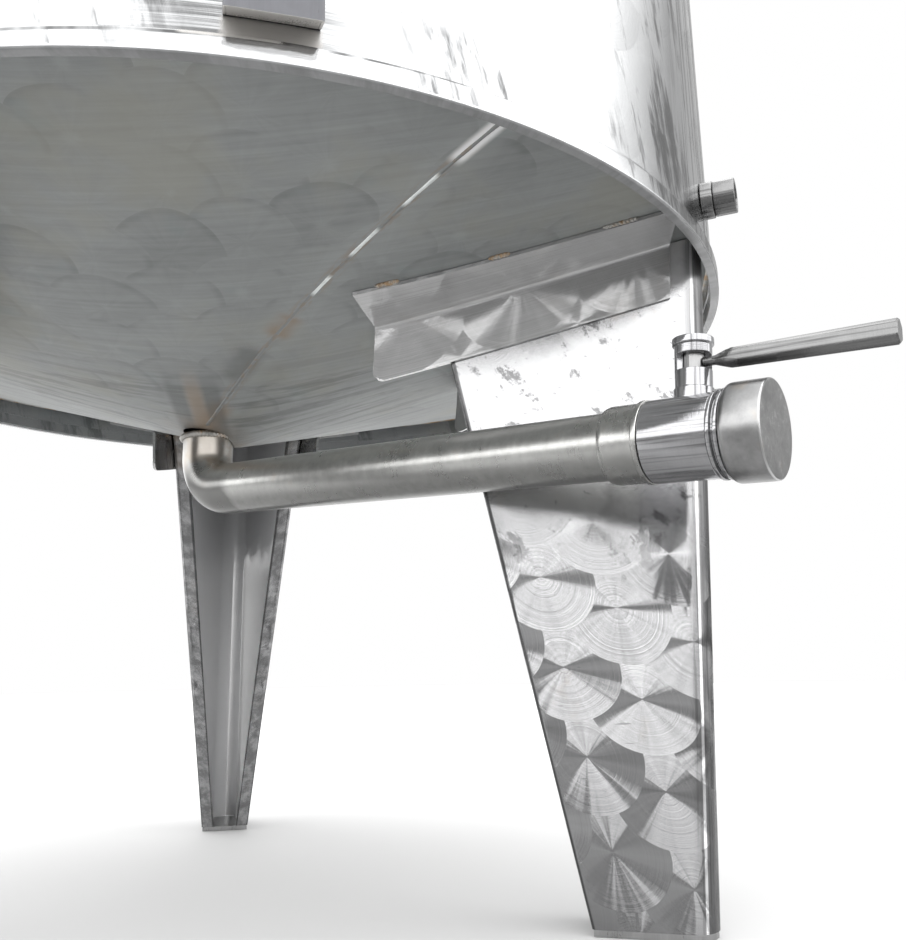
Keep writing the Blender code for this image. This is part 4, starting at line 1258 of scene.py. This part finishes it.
class TANK_OT_legs(bpy.types.Operator):
    """Build the three folded legs with their brackets and welds"""
    bl_idname = "tank.legs"
    bl_label = "Legs and brackets"

    def execute(self, context):
        sizes = context.scene.tank_sizes
        share = np.linspace(0, 1, 40)[:, None, None]
        insets = (0.0, LEG_SHEET)
        for side, azimuth in LEG_AZIMUTHS.items():
            centre = axis_frame(azimuth=math.radians(azimuth))
            # Straight lines from the foot's outline to the rim's, cut off just under the cone
            rims = [leg_outline(RIM_Z, inset) for inset in insets]
            top = np.minimum(*(bottom_z(np.linalg.norm(rim, axis=1)) for rim in rims)) - 2 * GAP
            top = top[None, :, None]
            reach = (top - FOOT_TOP) / (RIM_Z - FOOT_TOP) * share
            height = FOOT_TOP + (top - FOOT_TOP) * share
            faces = []
            for inset, rim in zip(insets, rims):
                foot = leg_outline(FOOT_TOP, inset)
                faces.append(np.concatenate((foot + (rim - foot) * reach, height), axis=-1))
            outer, inner = faces
            steps = np.linalg.norm(np.diff(outer[..., :2], axis=1), axis=-1)
            lengths = np.hstack((np.zeros((len(steps), 1)), np.cumsum(steps, axis=1)))
            chart = joined(lengths - lengths[:, -1:] / 2, outer[..., 2])
            make_piece(f"folded_leg_{side}", sheet_solid(outer, inner, chart), centre, "leg", [f"leg_{side}"],
                       bevel=sizes.edge_round)
            self.lip_welds(side, centre, outer[-1], sizes.bead_width)
            for letter, mirror in (("a", -1.0), ("b", 1.0)):
                self.bracket(f"{side}_{letter}", centre, mirror, BRACKET_LENGTHS[side], sizes)
        return {"FINISHED"}

    def lip_welds(self, side, centre, top_row, width):
        """A short bead where each lip meets the cone, on the side that faces the tank's axis."""
        grids = []
        for first, last in ((0, 5), (-1, -6)):
            share = np.linspace(0.05, 1.0, 40)[:, None]
            path = top_row[first] * (1 - share) + top_row[last] * share
            path[:, 2] = bottom_z(np.hypot(path[:, 0], path[:, 1])) - 0.0012
            path[:, 0] -= 0.0006
            normals = np.tile(np.array((-0.8, 0.0, -0.6)), (len(path), 1))
            grids += weld_bead(path, normals, width, height=0.0022, pitch=0.003, seed=first)
        make_piece(f"lip_welds_{side}", grids, centre, "bead")

    def bracket(self, name, centre, mirror, length, sizes):
        """A folded angle. Its section is an L with a bend: along the cone, then down the leg's face.

        The lower corner of its inner end is rounded off, and the flange's end runs a little askew."""
        round_off = 0.010
        skew = 0.22
        follow_within = 0.010
        hanging_part = 0.030
        arc = length - round_off * (1 - np.sin(np.linspace(0, math.pi / 2, 12)))
        s = BRACKET_START + np.union1d(np.linspace(0, length, 36), arc)[:, None]
        section = soft_corners([(BRACKET_FLANGE, 0.0), (0.0, 0.0), (0.0, -BRACKET_DROP)], [0, 0.007, 0], 8)
        section = finer(section, 0.007)
        away = 2 * GAP
        bend_z = under_cone(under_cone(RIM_Z, s, away), s, away)
        down = path_lengths(section)
        into = np.clip((s[-1] - s) / round_off, 0, 1)
        lift = (1 - np.sqrt(1 - (1 - into) ** 2)) * round_off
        hanging = np.clip((down - down[-1] + hanging_part) / hanging_part, 0, 1)[None, :]
        faces = []
        for profile in (section, offset_line(section, BRACKET_SHEET)):
            out, drop = profile.T[:, None]
            z = bend_z + drop
            skewed = s + (s - BRACKET_START) / length * out * skew
            x, y = on_leg_face(z, skewed, away + out)
            z = z + (under_cone(bend_z, skewed, away + out) - bend_z) * np.clip(out / follow_within, 0, 1)
            faces.append(joined(x, y * -mirror, z + lift * hanging))
        make_piece(f"angle_{name}", sheet_solid(*faces, joined(s, -down)), centre, "bracket",
                   [f"bracket_{name}"], bevel=sizes.edge_round)
        grids = []
        middle_z = bend_z.mean()
        half = leg_half_angle(leg_share(middle_z))
        normal = np.array((math.sin(half), mirror * math.cos(half), -1.0)) / math.sqrt(2)
        for start, end in ((0.12, 0.24), (0.54, 0.61), (0.90, 0.98)):
            stations = BRACKET_START + np.linspace(start, end, 40) * length
            x, y = on_leg_face(middle_z, stations, away + BRACKET_FLANGE + 0.0008)
            path = joined(x, -mirror * y, bottom_z(np.hypot(x, y)) - 0.0010)
            normals = np.tile(normal, (len(path), 1))
            grids += weld_bead(path, normals, sizes.bead_width, height=0.0018, pitch=0.0034, seed=start)
        make_piece(f"flange_welds_{name}", grids, centre, "bead")


def drain_corner():
    """The frame at the corner of the drain, with X level and over the pipe, and Z up."""
    corner = Matrix.Translation((AXIS_X + DRAIN_OFFSET_X, AXIS_Y, RIM_Z - PIPE_DROP))
    return corner @ Matrix.Rotation(PIPE_HEADING, 4, "Z")


def outlet_frame():
    """The frame whose local X runs along the pipe, from the corner of the elbow."""
    return drain_corner() @ Matrix.Rotation(PIPE_FALL, 4, "Y")


class TANK_OT_drain(bpy.types.Operator):
    """Build the drain tube from the cone to the valve"""
    bl_idname = "tank.drain"
    bl_label = "Drain tube"

    def execute(self, context):
        bend = math.pi / 2 - PIPE_FALL
        reach = ELBOW_RADIUS * math.tan(bend / 2)
        top = bottom_z(abs(DRAIN_OFFSET_X)) + CONE_SHEET - (RIM_Z - PIPE_DROP)
        turn = np.linspace(0, bend, 25)
        rise = np.linspace(top, reach, 6)[:-1]
        run = np.linspace(reach, SLEEVE_START + 0.001, 40)[1:]
        # Down the riser, round a quarter turn less the pipe's fall, and along the pipe
        path = np.vstack((joined(0, 0, rise),
                          joined(ELBOW_RADIUS * (1 - np.cos(turn)), 0, reach - ELBOW_RADIUS * np.sin(turn)),
                          joined(run * math.cos(PIPE_FALL), 0, -run * math.sin(PIPE_FALL))))
        outer = sweep(path, (0, 1, 0), PIPE_RADIUS, 96)
        inner = sweep(path, (0, 1, 0), BORE, 96)
        ends = four_sides(outer[0], inner[0], outer[1])[:2]
        make_piece("drain_tube", [outer, inner] + ends, drain_corner(), "pipe",
                   ["drain_riser", "drain_elbow", "drain_pipe"])
        ring_bead("drain_bead", PIPE_RADIUS + 0.0008, bottom_z(0.03) - 0.0005, axis_frame(DRAIN_OFFSET_X),
                  0.006, 0.4)
        return {"FINISHED"}


class TANK_OT_valve(bpy.types.Operator):
    """Build the valve with its sleeve, neck, rings, cap and lever"""
    bl_idname = "tank.valve"
    bl_label = "Valve and lever"

    def execute(self, context):
        along = outlet_frame() @ Matrix.Rotation(math.pi / 2, 4, "Y")
        start = SLEEVE_START
        end = VALVE_START
        low = RINGS_START + GAP
        high = CAP_START - GAP
        third = (high - low) / 3
        groove = BARREL_RADIUS - 0.0025
        ridge = BARREL_RADIUS + 0.0015
        cap = 0.0355
        parts = (
            ("outlet_sleeve", "sleeve", "valve_sleeve", "pipe_steel", 3,
             [(BORE, start), (0.0288, start), (0.0300, start + 0.004), (0.0300, end - 0.005),
              (SLEEVE_RADIUS, end - 0.0045), (SLEEVE_RADIUS, end - GAP), (BORE, end - GAP)],
             [0, 0.0010, 0.0010, 0.0005, 0.0008, 0.0005, 0]),
            ("valve_barrel", "polished", "valve_body", "polished_steel", 4,
             hollow(BORE, BARREL_RADIUS, end, RINGS_START), [0, 0.0012, 0.0012, 0]),
            ("ring_nut", "polished", "outlet_rings", "polished_steel", 3,
             [(BORE, low), (ridge, low), (ridge, low + third), (groove, low + third), (groove, high - third),
              (ridge, high - third), (ridge, high), (BORE, high)],
             [0, 0.0007, 0.0007, 0.0004, 0.0004, 0.0007, 0.0007, 0]),
            ("blank_cap", "cap", "outlet_cap", "pipe_steel", 6,
             [(BORE, CAP_START), (cap, CAP_START), (cap, CAP_END), (0.0, CAP_END), (0.0, CAP_END - 0.004),
              (BORE, CAP_END - 0.004)],
             [0, 0.0055, 0.0018, 0, 0, 0]))
        for name, finish, solid, slot, fineness, corners, cuts in parts:
            turned_piece(name, corners, cuts, fineness, 96, along, finish, solid)
        stem = outlet_frame() @ Matrix.Translation((STEM_STATION, 0, 0))
        self.turret(stem)
        self.lever(stem @ Matrix.Translation((0, 0, LEVER_HEIGHT)))
        return {"FINISHED"}

    def turret(self, stem):
        """The neck: a ring below and one above the lever's window, and the wall behind the window.

        The wall is a section of (radius, height) carried round from one side of the window to the
        other, with a flat strip at both ends."""
        reach = 0.0135
        hole = 0.0086
        base = 0.0240
        collar = reach + 0.0011
        crown = reach + 0.0015
        slot_low = LEVER_HEIGHT - 0.006
        slot_high = LEVER_HEIGHT + 0.006
        top = NECK_TOP
        lower = soft_corners([(hole, base), (collar, base), (collar, 0.0353), (reach, 0.0358),
                              (reach, slot_low), (hole, slot_low), (hole, base)],
                             [0, 0, 0.0006, 0.0004, 0.0006, 0.0006, 0], 3)
        upper = soft_corners([(hole, slot_high), (reach, slot_high), (reach, top - 0.006),
                              (crown, top - 0.0055), (crown, top), (hole, top), (hole, slot_high)],
                             [0, 0.0006, 0.0004, 0.0008, 0.0012, 0.0006, 0], 3)
        wall = closed(np.array([(hole, slot_low), (reach, slot_low), (reach, slot_high), (hole, slot_high)]))
        radius, height = wall.T[:, :, None]
        turn = np.radians(np.linspace(35.0, 235.0, 49))[None, :]
        grid = joined(radius * np.cos(turn), radius * np.sin(turn), height)
        chart = joined(turn * reach, height)
        ends = [between(grid[[0, 3], end], grid[[1, 2], end], chart[[0, 3], end]) for end in (0, -1)]
        make_piece("valve_turret", [lathe(lower, 72), lathe(upper, 72), (grid, chart)] + ends, stem,
                   "polished", ["valve_neck"])

    def lever(self, middle):
        """The lever: six flats with rounded edges, between a pointed neck and a slightly tapered tip.

        A flat's distance at angle a is the inner radius over cos(a), with a measured from the flat,
        and at most 1.12 times that radius."""
        length = 0.138
        tip_length = 0.0012
        root = 0.0083
        neck_end = 0.0165
        flats_start = 0.034
        stations = np.union1d(np.linspace(root, length, 40), [neck_end, flats_start, length - tip_length])
        stations = stations[:, None]
        turn = np.linspace(0, math.tau, 49)[None, :]
        inner = np.interp(stations, (flats_start, length), (0.0068, 0.0081))
        flats = np.minimum(inner / np.cos((turn + math.pi / 6) % (math.pi / 3) - math.pi / 6), inner * 1.12)
        cone = np.interp(stations, (root, neck_end, 0.036), (0.0035, 0.0035, 0.0100))
        size = np.minimum(flats, cone) * np.interp(stations, (length - tip_length, length), (1.0, 0.88))
        grid = joined(stations, size * np.cos(turn), size * np.sin(turn))
        chart = joined(turn * 0.009, stations)
        bar = [(grid, chart)]
        for row in (0, -1):
            centre = np.broadcast_to(grid[row].mean(axis=0), grid[row].shape)
            bar.append(between(grid[row], centre, chart[row]))
        make_piece("lever_bar", bar, middle, "lever", ["valve_lever"], body="lever")


class TANK_OT_fittings(bpy.types.Operator):
    """Build the jacket nipples and the guard of the level gauge"""
    bl_idname = "tank.fittings"
    bl_label = "Wall fittings"

    def execute(self, context):
        seat = SHELL_RADIUS * math.cos(math.pi / 72) + 0.00045
        hole = 0.0115
        for label, height in NIPPLE_HEIGHTS.items():
            outward = axis_frame(seat, 0, RIM_Z + height, NIPPLE_AZIMUTH)
            outward = outward @ Matrix.Rotation(math.pi / 2, 4, "Y")
            parts = (("boss", hollow(hole, 0.0165, 0.0, 0.010), [0, 0, 0.0016, 0]),
                     ("nipple", hollow(hole, 0.0155, 0.0103, 0.029), [0, 0.0012, 0.0010, 0.0008]))
            for part, corners, cuts in parts:
                turned_piece(f"{label}_{part}", corners, cuts, 4, 72, outward, "fitting",
                             f"{label}_jacket_{part}")
        self.guard()
        return {"FINISHED"}

    def guard(self):
        """The gauge's guard: a channel cut slanting at its lower end, with a slot between its ends.

        A section is a U at both ends and two halves of it beside the slot, with bends that are
        quadratic arcs, carried upwards. An end plate fills the space between the sides and the wall,
        and its back edge follows the wall."""
        half = 0.029
        slot = 0.009
        sheet = 0.002
        slant = 0.011
        cover = 0.090
        step = 0.0004
        play = 0.0001
        face = SHELL_RADIUS + 0.022
        wall = math.sqrt(SHELL_RADIUS ** 2 - half ** 2) + 2 * GAP
        low = RIM_Z + 0.031
        high = RIM_Z + 1.190
        lower_joint = low + cover
        upper_joint = high - cover

        def low_end(x):
            """Height of the slanted lower end at a distance from the tank's axis."""
            return low - slant * (x - wall) / (face - wall)

        def section(sign, inset, to):
            """Half a section: from the wall along one side, round the fold and along the face."""
            side = sign * (half - inset)
            return soft_corners([(wall, side), (face - inset, side), (face - inset, sign * to)],
                                [0, 0.0035 - inset * 0.7, 0], 6)

        def channel(sections, bottom, top, chart_start):
            """A sheet between two sections of (x, y), carried from one height to another."""
            share = np.linspace(0, 1, 30)[:, None]
            faces = []
            for line in sections:
                start = low_end(line[:, 0]) if bottom is None else bottom
                heights = start * (1 - share) + top * share
                faces.append((joined(line[:, 0], line[:, 1], heights),
                              joined(path_lengths(line) + chart_start, heights)))
            return sheet_solid(faces[0][0], faces[1][0], faces[0][1])

        insets = (0.0, sheet)
        whole = [np.vstack((section(-1.0, inset, 0.0), section(1.0, inset, 0.0)[-2::-1])) for inset in insets]
        grids = channel(whole, None, lower_joint, 0.0) + channel(whole, upper_joint, high, 0.0)
        for sign in (-1.0, 1.0):
            sides = [section(sign, inset, slot) for inset in insets]
            grids += channel(sides, lower_joint + step, upper_joint - step, sign)
        y = np.linspace(-half + sheet + play, half - sheet - play, 13)[None, :]
        inwards = np.linspace(0, 1, 6)[:, None]
        x = (np.sqrt(SHELL_RADIUS ** 2 - y ** 2) + 2 * GAP) * (1 - inwards) + (face - sheet - play) * inwards
        for end_z, thick in ((low_end(x), sheet), (high, -sheet)):
            plate = joined(x, y, end_z)
            grids += sheet_solid(plate, plate + np.array((0, 0, thick)), joined(x, y))
        make_piece("gauge_channel", grids, axis_frame(azimuth=GUARD_AZIMUTH), "guard",
                   ["gauge_guard_left", "gauge_guard_right"], bevel=0.0003)


class TANK_OT_solids(bpy.types.Operator):
    """Give every solid that still shows its better finish"""
    bl_idname = "tank.solids"
    bl_label = "Finishes of the solids"

    def execute(self, context):
        slots = {row["node"]: row["material_slot"] for row in frame["record"]["subparts"]}
        looks = {"gauge_plastic": "gauge", "black_knob": "knob"}
        for name, item in frame["nodes"].items():
            for each in item.material_slots:
                each.material = FINISHES[looks.get(slots[name], "plate")]
        return {"FINISHED"}


class TANK_OT_stage(bpy.types.Operator):
    """Make the floor, the soft light and the camera of the photograph"""
    bl_idname = "tank.stage"
    bl_label = "Stage and camera"

    def execute(self, context):
        context.scene.view_settings.view_transform = "Standard"
        self.floor(context.scene)
        self.light(context.scene)
        self.camera(context.scene)
        return {"FINISHED"}

    def floor(self, scene):
        """A pale round floor, darker behind the camera's place."""
        rows = 12
        columns = 97
        turn = np.linspace(0, math.tau, columns)[None, :]
        reach = np.linspace(0, scene.tank_sizes.floor_radius, rows)[:, None]
        grid = joined(reach * np.cos(turn), reach * np.sin(turn), FLOOR_Z)
        mesh = bpy.data.meshes.new("floor")
        mesh.from_pydata(grid.reshape(-1, 3), [], grid_faces(rows, columns, 0))
        floor = bpy.data.objects.new("floor", mesh)
        scene.collection.objects.link(floor)
        pale = Shade("pale_floor", metallic=0.0, roughness=0.9)
        y = pale.place()[1]
        behind, ahead = shades_of(scene.tank_colours.floor, FLOOR_BEHIND, FLOOR_AHEAD)
        pale.base = pale.colours(y.step(-0.85, -0.38), behind, ahead)
        mesh.materials.append(pale.feed())

    def light(self, scene):
        """A white sky that is dim near the horizon and behind a dark screen; the camera sees plain white."""
        world = bpy.data.worlds.new("soft studio")
        scene.world = world
        world.use_nodes = True
        light = Nodes(world.node_tree)
        way = light.node("ShaderNodeTexCoord", {}, {}).outputs["Generated"]
        rise = light.parts(way)[2]
        screen = Value(light, light.vectors("DOT_PRODUCT", way, SCREEN_SIDE).socket.node.outputs["Value"])
        shadow = 1.0 - screen.step(0.62, 0.92) * 0.80
        strength = (rise.step(0.04, 0.09) * 0.85 + 0.15) * shadow * SKY_STRENGTH
        sky = light.node("ShaderNodeBackground", {}, {"Strength": strength, "Color": (1, 1, 1)})
        plain = light.node("ShaderNodeBackground", {}, {"Color": (1, 1, 1)})
        seen = light.node("ShaderNodeLightPath", {}, {}).outputs["Is Camera Ray"]
        both = light.node("ShaderNodeMixShader", {}, {0: seen, 1: sky.outputs[0], 2: plain.outputs[0]})
        light.node("ShaderNodeOutputWorld", {}, {0: both.outputs[0]})

    def camera(self, scene):
        """The photograph's camera, from its yaw, pitch and roll, at its distance from the tank's axis."""
        data = bpy.data.cameras.new("camera")
        camera = bpy.data.objects.new("camera", data)
        scene.collection.objects.link(camera)
        data.sensor_width = 36
        data.lens = CAMERA_LENS
        data.clip_start = 0.05
        level = np.array((math.cos(CAMERA_YAW), -math.sin(CAMERA_YAW), 0.0))
        ahead = np.array((math.sin(CAMERA_YAW), math.cos(CAMERA_YAW), 0.0))
        forward = ahead * math.cos(CAMERA_PITCH) + np.array((0.0, 0.0, math.sin(CAMERA_PITCH)))
        over = np.cross(level, forward)
        turned = np.eye(4)
        turned[:3, 0] = math.cos(CAMERA_ROLL) * level + math.sin(CAMERA_ROLL) * over
        turned[:3, 1] = -math.sin(CAMERA_ROLL) * level + math.cos(CAMERA_ROLL) * over
        turned[:3, 2] = -forward
        turned[:3, 3] = (AXIS_X, AXIS_Y - CAMERA_DISTANCE * RIM_RADIUS, RIM_Z - CAMERA_BELOW * RIM_RADIUS)
        camera.matrix_world = Matrix(turned.tolist())
        scene.camera = camera


class TANK_PT_panel(bpy.types.Panel):
    """Sizes, colours and pieces of the tank"""
    bl_label = "Storage tank"
    bl_space_type = "VIEW_3D"
    bl_region_type = "UI"
    bl_category = "Storage tank"

    def draw(self, context):
        for group in (context.scene.tank_sizes, context.scene.tank_colours):
            column = self.layout.column()
            for name in group.__annotations__:
                column.prop(group, name)
        for operator in OPERATORS:
            self.layout.operator(operator.bl_idname)


OPERATORS = (TANK_OT_finishes, TANK_OT_wall, TANK_OT_bottom, TANK_OT_roof, TANK_OT_legs, TANK_OT_drain,
             TANK_OT_valve, TANK_OT_fittings, TANK_OT_solids, TANK_OT_stage)
CLASSES = (TankSizes, TankColours, *OPERATORS, TANK_PT_panel)


def register():
    """Register the classes and hang the settings on the scene."""
    for each in CLASSES:
        bpy.utils.register_class(each)
    bpy.types.Scene.tank_sizes = PointerProperty(type=TankSizes)
    bpy.types.Scene.tank_colours = PointerProperty(type=TankColours)


def unregister():
    """Take the settings and the classes away again."""
    del bpy.types.Scene.tank_colours
    del bpy.types.Scene.tank_sizes
    for each in reversed(CLASSES):
        bpy.utils.unregister_class(each)


def main():
    """Build everything in order."""
    register()
    for operator in OPERATORS:
        group, name = operator.bl_idname.split(".")
        if getattr(getattr(bpy.ops, group), name)() != {"FINISHED"}:
            raise RuntimeError(f"{operator.bl_label} didn't finish")


if __name__ == "__main__":
    main()
